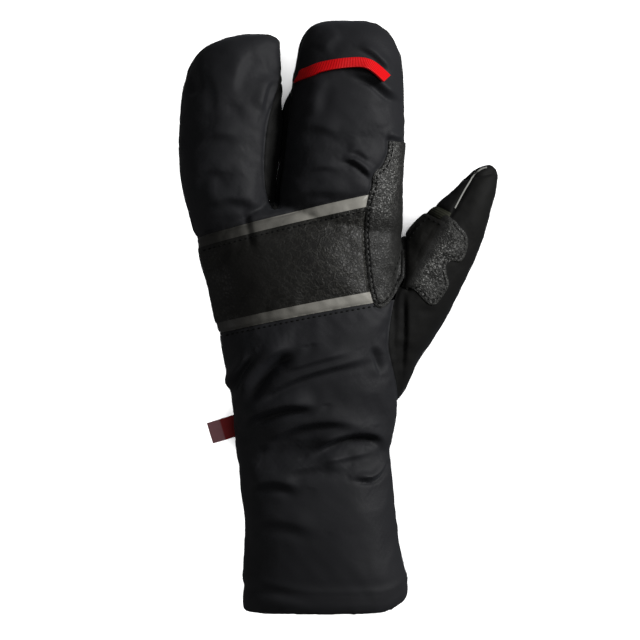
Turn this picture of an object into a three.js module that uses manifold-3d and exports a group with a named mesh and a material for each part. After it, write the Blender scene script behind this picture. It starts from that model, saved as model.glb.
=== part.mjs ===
// A padded winter mitt for the left hand with three stalls: one for the index and middle fingers, one
// for the ring and little fingers, and a thumb. It has a long gauntlet and lies on its palm. Modelled
// in millimetres with the gauntlet's hem at y = 0, the fingers towards +Y, the thumb towards +X and
// the back of the hand towards +Z. The mitt is one hollow skin, cut along its seams into panels, with
// trim laid on it.
import * as THREE from "three";
import { mergeVertices } from "three/addons/utils/BufferGeometryUtils.js";
import Module from "manifold-3d";

const wasm = await Module();
wasm.setup();

// Lengths along the hand.
const gauntletLength = 80; // hem to wrist
const palmLength = 120; // wrist to the foot of the slot between the stalls
const indexLength = 87.4; // slot foot to the tip of the index and middle stall
const ringLength = 80.5; // slot foot to the tip of the ring and little stall

// Widths across the back of the hand.
const cuffWidth = 79.5;
const wristWidth = 75;
const knuckleWidth = 102;
const indexWidth = 60;
const ringWidth = 48.5;
const slotGap = 1.2; // between the two stalls where they are closest
const slotOffset = 22.5; // the slot's foot lies this far on the little finger's side of the middle
const slotLeanOffset = 3.4; // the slot leans this far back towards the thumb, up to its open part

// Depths from the floor to the back of the hand.
const cuffDepth = 46;
const wristDepth = 43;
const palmDepth = 50;
const indexDepth = 44;
const ringDepth = 42;

// The thumb leaves the side of the palm at its root.
const thumbLength = 93;
const thumbWidth = 38;
const thumbDepth = 35;
const thumbAngle = 29.6; // degrees away from the fingers
const thumbRootOffset = 36.4; // from the middle
const thumbRootDistance = 57.5; // above the wrist

// The skin and its seams.
const wall = 3; // padded cloth with its lining
const seamGap = 0.3;
const seamHeight = 19; // of the seam between back and palm, above the floor
const thumbSeamHeight = 11; // of the same seam round the thumb
const palmSeamDistance = 12; // of the seam between palm and gauntlet, above the wrist

// Trim.
const hemWidth = 9;
const hemRiseHeight = 6; // the gauntlet's end rises this much at the thumb's side, half at the other
const hemLeanWidth = 6; // the hem is this much wider at the little finger's side
const bandHeight = 51.5; // across both reflective strips
const bandTopTilt = 13; // degrees
const bandFootTilt = 10.6;
const bandBowHeight = 1; // how far the band's edges bow up in the middle
const bandDistance = 89.6; // of the middle of the band, above the wrist
const stripWidth = 5.6;
const stripThickness = 0.8;
const patchThickness = 1;
const pipingWidth = 1.8;
const pipingThickness = 0.8;
const loopWidth = 5.4;
const loopThickness = 1;
const loopSlackHeight = 2.4; // of the pull loop over the stall
const labelLength = 13;
const labelWidth = 11;
const labelThickness = 1;
const labelDistance = 9.5; // of the label's middle, above the wrist
const labelDroop = 17; // degrees

// How finely the skin is faceted: sides round each tube outside and inside, and the widest spacing of
// its rows.
const handSides = [32, 20];
const stallSides = [22, 14];
const thumbSides = [18, 12];
const handSpacing = 9.5;
const fingerSpacing = 15;

// The hand from the hem to the slot's foot. up is 0 at the hem, 1 at the wrist and 2 at the slot's
// foot; little and thumb are how far the sides reach from the middle, as shares of that width; back
// is the height of the back and lift that of the palm side, as shares of that depth.
const handRows = [
  { up: 0.0, width: cuffWidth, little: 0.472, thumb: 0.52, depth: cuffDepth, back: 0.975, lift: -0.03 },
  { up: 0.07, width: cuffWidth, little: 0.476, thumb: 0.526, depth: cuffDepth, back: 1.01, lift: -0.03 },
  { up: 0.13, width: cuffWidth, little: 0.472, thumb: 0.521, depth: cuffDepth, back: 0.99, lift: -0.03 },
  { up: 0.22, width: cuffWidth, little: 0.475, thumb: 0.512, depth: cuffDepth, back: 1.0, lift: -0.03 },
  { up: 0.32, width: cuffWidth, little: 0.475, thumb: 0.495, depth: cuffDepth, back: 1.0, lift: -0.03 },
  { up: 0.45, width: cuffWidth, little: 0.475, thumb: 0.471, depth: cuffDepth, back: 1.0, lift: -0.02 },
  { up: 0.6, width: cuffWidth, little: 0.476, thumb: 0.457, depth: cuffDepth, back: 0.99, lift: -0.01 },
  { up: 0.74, width: wristWidth, little: 0.524, thumb: 0.467, depth: cuffDepth, back: 0.97, lift: 0.0 },
  { up: 0.87, width: wristWidth, little: 0.54, thumb: 0.455, depth: wristDepth, back: 1.01, lift: 0.0 },
  { up: 0.97, width: wristWidth, little: 0.555, thumb: 0.446, depth: wristDepth, back: 1.0, lift: -0.01 },
  { up: 1.05, width: wristWidth, little: 0.563, thumb: 0.465, depth: wristDepth, back: 1.03, lift: -0.02 },
  { up: 1.13, width: wristWidth, little: 0.573, thumb: 0.488, depth: wristDepth, back: 1.08, lift: -0.04 },
  { up: 1.24, width: knuckleWidth, little: 0.437, thumb: 0.371, depth: palmDepth, back: 0.96, lift: -0.06 },
  { up: 1.37, width: knuckleWidth, little: 0.473, thumb: 0.373, depth: palmDepth, back: 0.99, lift: -0.07 },
  { up: 1.5, width: knuckleWidth, little: 0.504, thumb: 0.373, depth: palmDepth, back: 1.0, lift: -0.06 },
  { up: 1.63, width: knuckleWidth, little: 0.537, thumb: 0.373, depth: palmDepth, back: 0.99, lift: -0.03 },
  { up: 1.76, width: knuckleWidth, little: 0.575, thumb: 0.374, depth: palmDepth, back: 0.97, lift: 0.0 },
  { up: 1.87, width: knuckleWidth, little: 0.59, thumb: 0.371, depth: palmDepth, back: 0.92, lift: 0.04 },
  { up: 1.94, width: knuckleWidth, little: 0.55, thumb: 0.345, depth: palmDepth, back: 0.84, lift: 0.1 },
  { up: 1.985, width: knuckleWidth, little: 0.48, thumb: 0.28, depth: palmDepth, back: 0.7, lift: 0.2 },
];

// A finger stall. up is the share of its length above the slot's foot; away is how far it reaches
// from the slot and edge how far it stands back from it, as shares of its width.
const indexRows = [
  { up: -0.34, away: 0.94, edge: 0.08, back: 0.84, lift: 0.2 },
  { up: -0.18, away: 1.0, edge: 0.02, back: 0.98, lift: 0.1 },
  { up: -0.03, away: 1.018, edge: 0.0, back: 1.05, lift: 0.02 },
  { up: 0.14, away: 1.01, edge: 0.0, back: 1.05, lift: -0.02 },
  { up: 0.34, away: 0.99, edge: 0.0, back: 1.02, lift: -0.04 },
  { up: 0.5, away: 0.979, edge: 0.0, back: 0.98, lift: -0.05 },
  { up: 0.61, away: 0.974, edge: 0.05, back: 0.94, lift: -0.05 },
  { up: 0.71, away: 0.966, edge: 0.086, back: 0.9, lift: -0.04 },
  { up: 0.8, away: 0.944, edge: 0.106, back: 0.85, lift: -0.02 },
  { up: 0.87, away: 0.903, edge: 0.126, back: 0.79, lift: 0.02 },
  { up: 0.925, away: 0.853, edge: 0.162, back: 0.72, lift: 0.08 },
  { up: 0.965, away: 0.79, edge: 0.21, back: 0.64, lift: 0.16 },
  { up: 0.99, away: 0.725, edge: 0.285, back: 0.55, lift: 0.26 },
  { up: 1.0, away: 0.66, edge: 0.36, back: 0.48, lift: 0.34 },
];
const ringRows = [
  { up: -0.34, away: 0.7, edge: 0.1, back: 0.82, lift: 0.2 },
  { up: -0.18, away: 0.81, edge: 0.02, back: 0.96, lift: 0.1 },
  { up: -0.03, away: 0.874, edge: 0.0, back: 1.05, lift: 0.02 },
  { up: 0.14, away: 0.946, edge: 0.0, back: 1.05, lift: -0.02 },
  { up: 0.32, away: 0.994, edge: 0.0, back: 1.02, lift: -0.04 },
  { up: 0.48, away: 1.008, edge: 0.0, back: 0.98, lift: -0.05 },
  { up: 0.61, away: 0.998, edge: 0.0, back: 0.93, lift: -0.05 },
  { up: 0.71, away: 0.958, edge: 0.0, back: 0.89, lift: -0.04 },
  { up: 0.8, away: 0.906, edge: 0.0, back: 0.84, lift: -0.01 },
  { up: 0.87, away: 0.845, edge: 0.0, back: 0.79, lift: 0.03 },
  { up: 0.925, away: 0.75, edge: 0.005, back: 0.73, lift: 0.08 },
  { up: 0.965, away: 0.625, edge: 0.02, back: 0.66, lift: 0.15 },
  { up: 0.99, away: 0.48, edge: 0.06, back: 0.58, lift: 0.25 },
  { up: 1.0, away: 0.36, edge: 0.12, back: 0.5, lift: 0.33 },
];

// The thumb. up is the share of its length from its root; inner is how far it reaches towards the
// fingers and outer away from them, as shares of its width.
const thumbRows = [
  { up: -0.36, inner: 0.3, outer: 0.38, back: 0.82, lift: 0.12 },
  { up: -0.24, inner: 0.42, outer: 0.478, back: 0.95, lift: 0.04 },
  { up: -0.1, inner: 0.5, outer: 0.472, back: 1.02, lift: -0.02 },
  { up: 0.06, inner: 0.53, outer: 0.493, back: 1.03, lift: -0.05 },
  { up: 0.22, inner: 0.53, outer: 0.495, back: 1.02, lift: -0.05 },
  { up: 0.37, inner: 0.52, outer: 0.478, back: 1.0, lift: -0.03 },
  { up: 0.48, inner: 0.485, outer: 0.456, back: 0.97, lift: -0.01 },
  { up: 0.59, inner: 0.412, outer: 0.43, back: 0.93, lift: 0.02 },
  { up: 0.69, inner: 0.318, outer: 0.381, back: 0.88, lift: 0.05 },
  { up: 0.79, inner: 0.228, outer: 0.324, back: 0.82, lift: 0.09 },
  { up: 0.87, inner: 0.172, outer: 0.268, back: 0.75, lift: 0.13 },
  { up: 0.93, inner: 0.13, outer: 0.212, back: 0.68, lift: 0.18 },
  { up: 0.975, inner: 0.07, outer: 0.155, back: 0.6, lift: 0.25 },
  { up: 1.0, inner: 0.02, outer: 0.09, back: 0.52, lift: 0.33 },
];

// Folds on the back. across is a share of the knuckle width from the middle, towards the thumb; up
// is as in handRows; long, wide and rise are shares of the wrist width; turn is in degrees from
// straight across, and a negative rise is a dent.
const foldRows = [
  { across: -0.33, up: 1.24, long: 0.42, wide: 0.07, rise: -0.042, turn: 46 },
  { across: -0.2, up: 1.24, long: 0.34, wide: 0.07, rise: 0.039, turn: 40 },
  { across: 0.08, up: 1.29, long: 0.5, wide: 0.06, rise: 0.029, turn: 10 },
  { across: 0.25, up: 1.2, long: 0.2, wide: 0.07, rise: -0.034, turn: 70 },
  { across: -0.2, up: 1.09, long: 0.5, wide: 0.065, rise: -0.039, turn: 14 },
  { across: 0.06, up: 1.03, long: 0.5, wide: 0.06, rise: -0.031, turn: 8 },
  { across: 0.1, up: 0.95, long: 0.44, wide: 0.06, rise: 0.029, turn: 8 },
  { across: 0.18, up: 0.84, long: 0.46, wide: 0.06, rise: -0.034, turn: 6 },
  { across: 0.24, up: 0.73, long: 0.24, wide: 0.06, rise: -0.034, turn: 16 },
  { across: -0.18, up: 0.69, long: 0.44, wide: 0.07, rise: -0.031, turn: 2 },
];

// How square each tube's section is: 2 is an ellipse.
const handSquareness = 2.4;
const stallSquareness = 2.3;
const thumbSquareness = 2.2;

const wristUp = gauntletLength;
const slotUp = gauntletLength + palmLength;
const handPlace = (up) => (up <= 1 ? up * gauntletLength : wristUp + (up - 1) * palmLength);
const radians = THREE.MathUtils.degToRad;
const smoothstep = THREE.MathUtils.smoothstep;

// One column of a table at a place between its rows, on a smooth curve through them.
function columnAt(rows, column, up) {
  const last = rows.length - 1;
  let i = 0;
  while (i < last - 1 && rows[i + 1].up < up) i += 1;
  const row = (k) => rows[THREE.MathUtils.clamp(k, 0, last)];
  const slope = (k) => (column(row(k + 1)) - column(row(k - 1))) / (row(k + 1).up - row(k - 1).up);
  const span = rows[i + 1].up - rows[i].up;
  const t = THREE.MathUtils.clamp((up - rows[i].up) / span, 0, 1);
  const rest = 1 - t;
  return (
    rest * rest * (1 + 2 * t) * column(rows[i]) +
    rest * rest * t * span * slope(i) +
    t * t * (3 - 2 * t) * column(rows[i + 1]) -
    t * t * rest * span * slope(i + 1)
  );
}

// The places of a tube's rows: those of its table, with more between them where they lie far apart.
function upsOf(rows, place, spacing) {
  return rows.flatMap((row, i) => {
    if (i === rows.length - 1) return [row.up];
    const next = rows[i + 1].up;
    const steps = Math.ceil((place(next) - place(row.up)) / spacing);
    return Array.from({ length: steps }, (_, k) => row.up + ((next - row.up) * k) / steps);
  });
}

// A closed three.js geometry as a solid that can be joined and cut, and back.
function solidOf(geometry) {
  geometry.deleteAttribute("normal");
  geometry.deleteAttribute("uv");
  const merged = mergeVertices(geometry, 1e-4);
  const vertProperties = merged.getAttribute("position").array;
  const triVerts = new Uint32Array(merged.index.array);
  return new wasm.Manifold(new wasm.Mesh({ numProp: 3, vertProperties, triVerts }));
}

function geometryOf(solid) {
  const mesh = solid.getMesh();
  const geometry = new THREE.BufferGeometry();
  geometry.setAttribute("position", new THREE.BufferAttribute(mesh.vertProperties, 3));
  geometry.setIndex(new THREE.BufferAttribute(mesh.triVerts, 1));
  return geometry;
}

// A cut can leave slivers beside the panel: this is the panel itself.
function panelOf(solid) {
  return solid.decompose().reduce((a, b) => (b.volume() > a.volume() ? b : a));
}

// A closed tube: a cylinder whose rows of points are moved to their sections.
function tube(ups, sides, place) {
  const geometry = new THREE.CylinderGeometry(1, 1, 1, sides, ups.length - 1);
  const position = geometry.getAttribute("position");
  const point = new THREE.Vector3();
  for (let i = 0; i < position.count; i += 1) {
    point.fromBufferAttribute(position, i);
    const row = Math.round((point.y + 0.5) * (ups.length - 1));
    const onAxis = Math.hypot(point.x, point.z) < 0.5;
    position.setXYZ(i, ...place(ups[row], onAxis ? 0 : point.x, onAxis ? 0 : point.z));
  }
  return solidOf(geometry);
}

// A point of a padded tube's section: a superellipse from x0 to x1 and from z0 to z1, grown by a
// margin and flattened where it would go through the floor.
function sectionPoint(u, w, section, squareness, grow) {
  const halfWidth = (section.x1 - section.x0) / 2 + grow;
  const halfDepth = (section.z1 - section.z0) / 2 + grow;
  const share = (s) => Math.sign(s) * Math.abs(s) ** (2 / squareness);
  const x = (section.x0 + section.x1) / 2 + halfWidth * share(u);
  const z = (section.z0 + section.z1) / 2 + halfDepth * share(w);
  return [x, Math.max(z, -grow)];
}

// A negative margin gives the hollow: its ends move in with its walls, and it runs out past the hem.
const openEnd = 4;
const endTaper = 0.25; // the share of a tube over which its end moves
const endMove = (up, end, grow) => grow * smoothstep(up, end - endTaper, end);

// The hem's rise, which fades out up the gauntlet, and the folds' height at a place.
const hemFade = 0.4;
function hemRiseAt(x) {
  const thumbSide = smoothstep(x / cuffWidth, 0.34, 0.56);
  const littleSide = smoothstep(-x / cuffWidth, 0.4, 0.5);
  return hemRiseHeight * (thumbSide + littleSide / 2);
}

function foldAt(x, y) {
  return foldRows.reduce((sum, fold) => {
    const dx = x - fold.across * knuckleWidth;
    const dy = y - handPlace(fold.up);
    const along = dx * Math.cos(radians(fold.turn)) + dy * Math.sin(radians(fold.turn));
    const off = dy * Math.cos(radians(fold.turn)) - dx * Math.sin(radians(fold.turn));
    const ends = 1 - smoothstep(Math.abs(along) / wristWidth, 0, fold.long * 0.75);
    return sum + fold.rise * wristWidth * ends * Math.exp(-((off / (fold.wide * wristWidth)) ** 2));
  }, 0);
}

function handSolid(grow, sides) {
  const at = (column, up) => columnAt(handRows, column, up);
  return tube(upsOf(handRows, handPlace, handSpacing), sides, (up, u, w) => {
    const section = {
      x0: -at((row) => row.little * row.width, up),
      x1: at((row) => row.thumb * row.width, up),
      z0: at((row) => row.lift * row.depth, up),
      z1: at((row) => row.back * row.depth, up),
    };
    const [x, z] = sectionPoint(u, w, section, handSquareness, grow);
    const hem = hemRiseAt(x) * (1 - smoothstep(up, 0, hemFade));
    const open = up === 0 && grow < 0 ? -openEnd : 0;
    const y = handPlace(up) + hem + open + endMove(up, 2, grow);
    return [x, y, z + Math.sqrt(Math.max(w, 0)) * foldAt(x, y)];
  });
}

// The line of the slot between the two stalls, and a stall's section at a place along it.
const slotAt = (y) => -slotOffset + slotLeanOffset * smoothstep(y, slotUp, slotUp + 0.5 * ringLength);
const indexStall = { rows: indexRows, length: indexLength, width: indexWidth, depth: indexDepth, side: 1 };
const ringStall = { rows: ringRows, length: ringLength, width: ringWidth, depth: ringDepth, side: -1 };

function stallSection(stall, up) {
  const at = (name) => columnAt(stall.rows, (row) => row[name], up);
  const slot = slotAt(slotUp + up * stall.length) + (stall.side * slotGap) / 2;
  const near = slot + stall.side * at("edge") * stall.width;
  const far = slot + stall.side * at("away") * stall.width;
  return {
    x0: Math.min(near, far),
    x1: Math.max(near, far),
    z0: at("lift") * stall.depth,
    z1: at("back") * stall.depth,
  };
}

function stallSolid(stall, grow, sides) {
  const place = (up) => up * stall.length;
  return tube(upsOf(stall.rows, place, fingerSpacing), sides, (up, u, w) => {
    const [x, z] = sectionPoint(u, w, stallSection(stall, up), stallSquareness, grow);
    return [x, slotUp + up * stall.length + endMove(up, 1, grow), z];
  });
}

// The thumb's own axes, along it from the root and across it away from the fingers, and a place in
// the floor plane from shares of its length and width.
const thumbAlong = new THREE.Vector2(Math.sin(radians(thumbAngle)), Math.cos(radians(thumbAngle)));
const thumbAcross = new THREE.Vector2(Math.cos(radians(thumbAngle)), -Math.sin(radians(thumbAngle)));
const thumbPlace = (up, across) =>
  new THREE.Vector2(thumbRootOffset, wristUp + thumbRootDistance)
    .addScaledVector(thumbAlong, up * thumbLength)
    .addScaledVector(thumbAcross, across * thumbWidth);

function thumbSolid(grow, sides) {
  const along = (up) => up * thumbLength;
  return tube(upsOf(thumbRows, along, fingerSpacing), sides, (up, u, w) => {
    const at = (name) => columnAt(thumbRows, (row) => row[name], up);
    const section = {
      x0: -at("inner") * thumbWidth,
      x1: at("outer") * thumbWidth,
      z0: at("lift") * thumbDepth,
      z1: at("back") * thumbDepth,
    };
    const [across, z] = sectionPoint(u, w, section, thumbSquareness, grow);
    const place = thumbPlace(up + endMove(up, 1, grow) / thumbLength, across / thumbWidth);
    return [place.x, place.y, z];
  });
}

// The whole mitt as a full form, grown by a margin, and its skin.
function formSolid(grow) {
  const fineness = grow < 0 ? 1 : 0;
  return handSolid(grow, handSides[fineness])
    .add(stallSolid(indexStall, grow, stallSides[fineness]))
    .add(stallSolid(ringStall, grow, stallSides[fineness]))
    .add(thumbSolid(grow, thumbSides[fineness]));
}
const skin = formSolid(0).subtract(formSolid(-wall));

// Cutters: upright prisms from outlines in the floor plane, widened by a margin.
const farAway = 400;

function widened(points, margin) {
  const outward = -Math.sign(THREE.ShapeUtils.area(points)) * margin;
  return points.map((point, i) => {
    const before = points.at(i - 1);
    const after = points[(i + 1) % points.length];
    const into = point.clone().sub(before).normalize();
    const out = after.clone().sub(point).normalize();
    const side = new THREE.Vector2(-into.y, into.x);
    const middle = new THREE.Vector2(-into.y - out.y, into.x + out.x).normalize();
    return point.clone().addScaledVector(middle, outward / Math.max(middle.dot(side), 0.5));
  });
}

function prism(points, { margin = 0, low = -farAway, high = farAway } = {}) {
  const shape = new THREE.Shape(widened(points, margin));
  const geometry = new THREE.ExtrudeGeometry(shape, { depth: high - low, bevelEnabled: false });
  return solidOf(geometry.translate(0, 0, low));
}

const level = (low, high) => {
  const geometry = new THREE.BoxGeometry(2 * farAway, 2 * farAway, high - low);
  return solidOf(geometry.translate(0, 0, (low + high) / 2));
};
const backHalf = level(seamHeight + seamGap / 2, farAway);
const palmHalf = level(-farAway, seamHeight - seamGap / 2);

// The part of the floor plane between two lines that run across the hand.
const lineSteps = 8;
function between(lowLine, highLine) {
  const xs = Array.from({ length: lineSteps + 1 }, (_, i) => 2 * (i / lineSteps - 0.5) * knuckleWidth);
  const lower = xs.map((x) => new THREE.Vector2(x, lowLine(x)));
  const upper = xs.map((x) => new THREE.Vector2(x, highLine(x)));
  return prism([...lower, ...upper.reverse()]);
}

// Lines that seams follow: round the hem, across the hand below and above the knuckle band, and
// across the palm. A share of 0 is the band's lower edge and 1 its upper edge.
const hemLine = (x) => hemWidth + hemRiseAt(x) + hemLeanWidth * smoothstep(-x / cuffWidth, 0, 0.48);
function bandLine(x, share) {
  const bow = bandBowHeight * (1 - ((2 * x) / knuckleWidth) ** 2);
  const tilt = THREE.MathUtils.lerp(bandFootTilt, bandTopTilt, share);
  return wristUp + bandDistance + (share - 0.5) * bandHeight + Math.tan(radians(tilt)) * x + bow;
}
const bandFoot = (x) => bandLine(x, 0);
const bandTop = (x) => bandLine(x, 1);
const palmLine = () => wristUp + palmSeamDistance;
const pastTips = () => farAway;
const pastHem = () => -farAway;
const above = (line) => (x) => line(x) + seamGap / 2;
const below = (line) => (x) => line(x) - seamGap / 2;

// The leather that wraps from the palm round the index finger's side onto the back. across is a
// share of the knuckle width from the middle and up a share of the palm's length above the wrist.
const wrapRows = [
  { across: 0.5, up: 1.227 },
  { across: 0.319, up: 1.227 },
  { across: 0.315, up: 1.18 },
  { across: 0.29, up: 1.13 },
  { across: 0.247, up: 1.095 },
  { across: 0.238, up: 1.045 },
  { across: 0.215, up: 0.98 },
  { across: 0.202, up: 0.87 },
  { across: 0.207, up: 0.77 },
  { across: 0.222, up: 0.66 },
  { across: 0.243, up: 0.588 },
  { across: 0.265, up: 0.56 },
  { across: 0.293, up: 0.561 },
  { across: 0.33, up: 0.59 },
  { across: 0.363, up: 0.635 },
  { across: 0.394, up: 0.685 },
  { across: 0.5, up: 0.685 },
];
const handPoint = (row) => new THREE.Vector2(row.across * knuckleWidth, wristUp + row.up * palmLength);
const wrapZone = (margin) => prism(wrapRows.map(handPoint), { margin, low: seamHeight - wall });

// The seam between the thumb's panels and the back, from the gauntlet to the leather.
const gussetRows = [
  { across: 0.5, up: 0.1 },
  { across: 0.37, up: 0.12 },
  { across: 0.36, up: 0.24 },
  { across: 0.333, up: 0.34 },
  { across: 0.319, up: 0.41 },
  { across: 0.328, up: 0.5 },
  { across: 0.345, up: 0.58 },
  { across: 0.363, up: 0.635 },
  { across: 0.394, up: 0.685 },
  { across: 0.394, up: 1.0 },
  { across: 0.6, up: 1.8 },
  { across: 1.2, up: 1.8 },
  { across: 1.2, up: 0.1 },
];
const thumbZone = (margin) => prism(gussetRows.map(handPoint), { margin, low: thumbSeamHeight });

// The gusset between the two stalls, round their facing sides: how far it reaches from the slot over
// each stall, as shares of the stalls' widths.
const fourchetteRows = [
  { up: -0.055, ring: 0.02, index: 0.015 },
  { up: 0.07, ring: 0.085, index: 0.03 },
  { up: 0.26, ring: 0.125, index: 0.035 },
  { up: 0.48, ring: 0.143, index: 0.035 },
  { up: 0.7, ring: 0.125, index: 0.105 },
  { up: 0.89, ring: 0.075, index: 0.145 },
  { up: 0.98, ring: 0.03, index: 0.16 },
];
function fourchettePoint(row, side, reach) {
  const y = slotUp + row.up * ringLength;
  return new THREE.Vector2(slotAt(y) + side * (slotGap / 2 + reach), y);
}
const fourchetteOutline = [
  ...fourchetteRows.map((row) => fourchettePoint(row, 1, row.index * indexWidth)),
  ...fourchetteRows.map((row) => fourchettePoint(row, -1, row.ring * ringWidth)).reverse(),
];
const fourchetteZone = (margin) => prism(fourchetteOutline, { margin, low: -farAway });

// The panels that the seams cut the skin into.
function backPanel(low, high) {
  return skin
    .intersect(backHalf)
    .intersect(between(low, high))
    .subtract(wrapZone(seamGap))
    .subtract(thumbZone(seamGap))
    .subtract(fourchetteZone(seamGap));
}
const palmSide = palmHalf.intersect(between(above(palmLine), pastTips)).add(wrapZone(0));

// The thumb's skin is split by a seam over its top. On the side towards the fingers the leather ends
// in a short trim, past which the cloth goes on to the tip. Shares of the thumb's length and width.
const thumbTopSeam = -0.11;
const crotchStart = 0.2;
const crotchEnd = 0.56;
const trimEnd = 0.69;
const pastTip = 2;
const pastSide = 2;
const seamShare = seamGap / thumbLength;
const sideShare = seamGap / thumbWidth;
const thumbSkin = skin.intersect(thumbZone(0));
const innerSide = (from, to, across) =>
  prism([
    thumbPlace(from, -pastSide),
    thumbPlace(to, -pastSide),
    thumbPlace(to, across),
    thumbPlace(from, across),
  ]);
const thumbOuter = thumbSkin.subtract(innerSide(crotchStart - seamShare, pastTip, thumbTopSeam + sideShare));
const thumbCrotch = thumbSkin.intersect(innerSide(crotchStart, crotchEnd, thumbTopSeam));
const thumbTrim = thumbSkin.intersect(innerSide(crotchEnd + seamShare, trimEnd, thumbTopSeam));
const thumbInner = thumbSkin.intersect(innerSide(trimEnd + seamShare, pastTip, thumbTopSeam));

// Thin pieces that lie on the skin inside an outline.
function layer(thickness, zone) {
  return formSolid(seamGap + thickness).subtract(formSolid(seamGap)).intersect(zone);
}
const stripShare = stripWidth / bandHeight;
const stripLine = (share) => (x) => bandLine(x, share);
const stripZone = (low, high) =>
  backHalf
    .intersect(between(stripLine(low), stripLine(high)))
    .subtract(wrapZone(seamGap))
    .subtract(thumbZone(seamGap));

// The lobed leather patch on the thumb, and the piping along the seam over its tip.
const patchRows = [
  { up: 0.6, across: -0.2 },
  { up: 0.634, across: -0.06 },
  { up: 0.62, across: 0.05 },
  { up: 0.6, across: 0.19 },
  { up: 0.56, across: 0.27 },
  { up: 0.5, across: 0.31 },
  { up: 0.46, across: 0.29 },
  { up: 0.445, across: 0.2 },
  { up: 0.41, across: 0.155 },
  { up: 0.365, across: 0.23 },
  { up: 0.33, across: 0.31 },
  { up: 0.27, across: 0.32 },
  { up: 0.2, across: 0.28 },
  { up: 0.19, across: 0.17 },
  { up: 0.215, across: -0.01 },
  { up: 0.25, across: -0.2 },
];
const thumbOutline = (rows) => rows.map((row) => thumbPlace(row.up, row.across));
const aboveThumbSeam = { low: thumbSeamHeight };
const patchZone = prism(thumbOutline(patchRows), aboveThumbSeam);

const pipingRows = [
  { up: 0.7, across: -0.11 },
  { up: 0.79, across: -0.112 },
  { up: 0.88, across: -0.1 },
  { up: 0.955, across: -0.06 },
];
const pipingHalf = pipingWidth / 2 / thumbWidth;
const pipingOutline = [
  ...pipingRows.map((row) => ({ up: row.up, across: row.across - pipingHalf })),
  ...pipingRows.map((row) => ({ up: row.up, across: row.across + pipingHalf })).reverse(),
];
const pipingZone = prism(thumbOutline(pipingOutline), aboveThumbSeam);

// The pull loop over the index and middle stall. across is measured from the slot's side, as a share
// of the stall's width, and slack is a share of the loop's slack.
const loopRows = [
  { across: 0.1, up: 0.67, slack: 0.0 },
  { across: 0.13, up: 0.7, slack: 0.1 },
  { across: 0.22, up: 0.738, slack: 0.3 },
  { across: 0.34, up: 0.757, slack: 0.4 },
  { across: 0.48, up: 0.771, slack: 0.5 },
  { across: 0.62, up: 0.77, slack: 0.8 },
  { across: 0.72, up: 0.752, slack: 1.0 },
  { across: 0.79, up: 0.72, slack: 0.8 },
  { across: 0.85, up: 0.68, slack: 0.3 },
];

// The height of a stall's grown back at a place.
function stallTop(stall, x, y, grow) {
  const section = stallSection(stall, (y - slotUp) / stall.length);
  const halfWidth = (section.x1 - section.x0) / 2 + grow;
  const halfDepth = (section.z1 - section.z0) / 2 + grow;
  const share = THREE.MathUtils.clamp((x - (section.x0 + section.x1) / 2) / halfWidth, -1, 1);
  const rise = (1 - Math.abs(share) ** stallSquareness) ** (1 / stallSquareness);
  return (section.z0 + section.z1) / 2 + halfDepth * rise;
}

function pullLoop() {
  const steps = 2 * (loopRows.length - 1);
  const slot = slotAt(slotUp + ringLength) + slotGap / 2;
  const path = new THREE.CatmullRomCurve3(
    loopRows.map((row) => {
      const [x, y] = [slot + row.across * indexWidth, slotUp + row.up * indexLength];
      return new THREE.Vector3(x, y, row.slack * loopSlackHeight);
    }),
  );
  const geometry = new THREE.BoxGeometry(1, 1, 1, steps, 1, 1);
  const position = geometry.getAttribute("position");
  for (let i = 0; i < position.count; i += 1) {
    const t = Math.round((position.getX(i) + 0.5) * steps) / steps;
    const centre = path.getPointAt(t);
    const tangent = path.getTangentAt(t);
    const sideways = new THREE.Vector2(-tangent.y, tangent.x).normalize();
    const x = centre.x + sideways.x * position.getY(i) * loopWidth;
    const y = centre.y + sideways.y * position.getY(i) * loopWidth;
    const grow = seamGap + centre.z + (position.getZ(i) + 0.5) * loopThickness;
    position.setXYZ(i, x, y, stallTop(indexStall, x, y, grow));
  }
  return solidOf(geometry).subtract(formSolid(seamGap));
}

// The folded label in the side seam, at the little finger's side just above the wrist.
function sideLabel() {
  const up = 1 + labelDistance / palmLength;
  const seamSide = -columnAt(handRows, (row) => row.little * row.width, up);
  const geometry = new THREE.BoxGeometry(2 * labelLength, labelWidth, labelThickness);
  geometry.rotateZ(radians(labelDroop));
  geometry.translate(seamSide, wristUp + labelDistance, seamHeight);
  const outside = prism([
    new THREE.Vector2(-farAway, 0),
    new THREE.Vector2(seamSide + wall, 0),
    new THREE.Vector2(seamSide + wall, farAway),
    new THREE.Vector2(-farAway, farAway),
  ]);
  return solidOf(geometry).intersect(outside).subtract(formSolid(seamGap));
}

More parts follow.
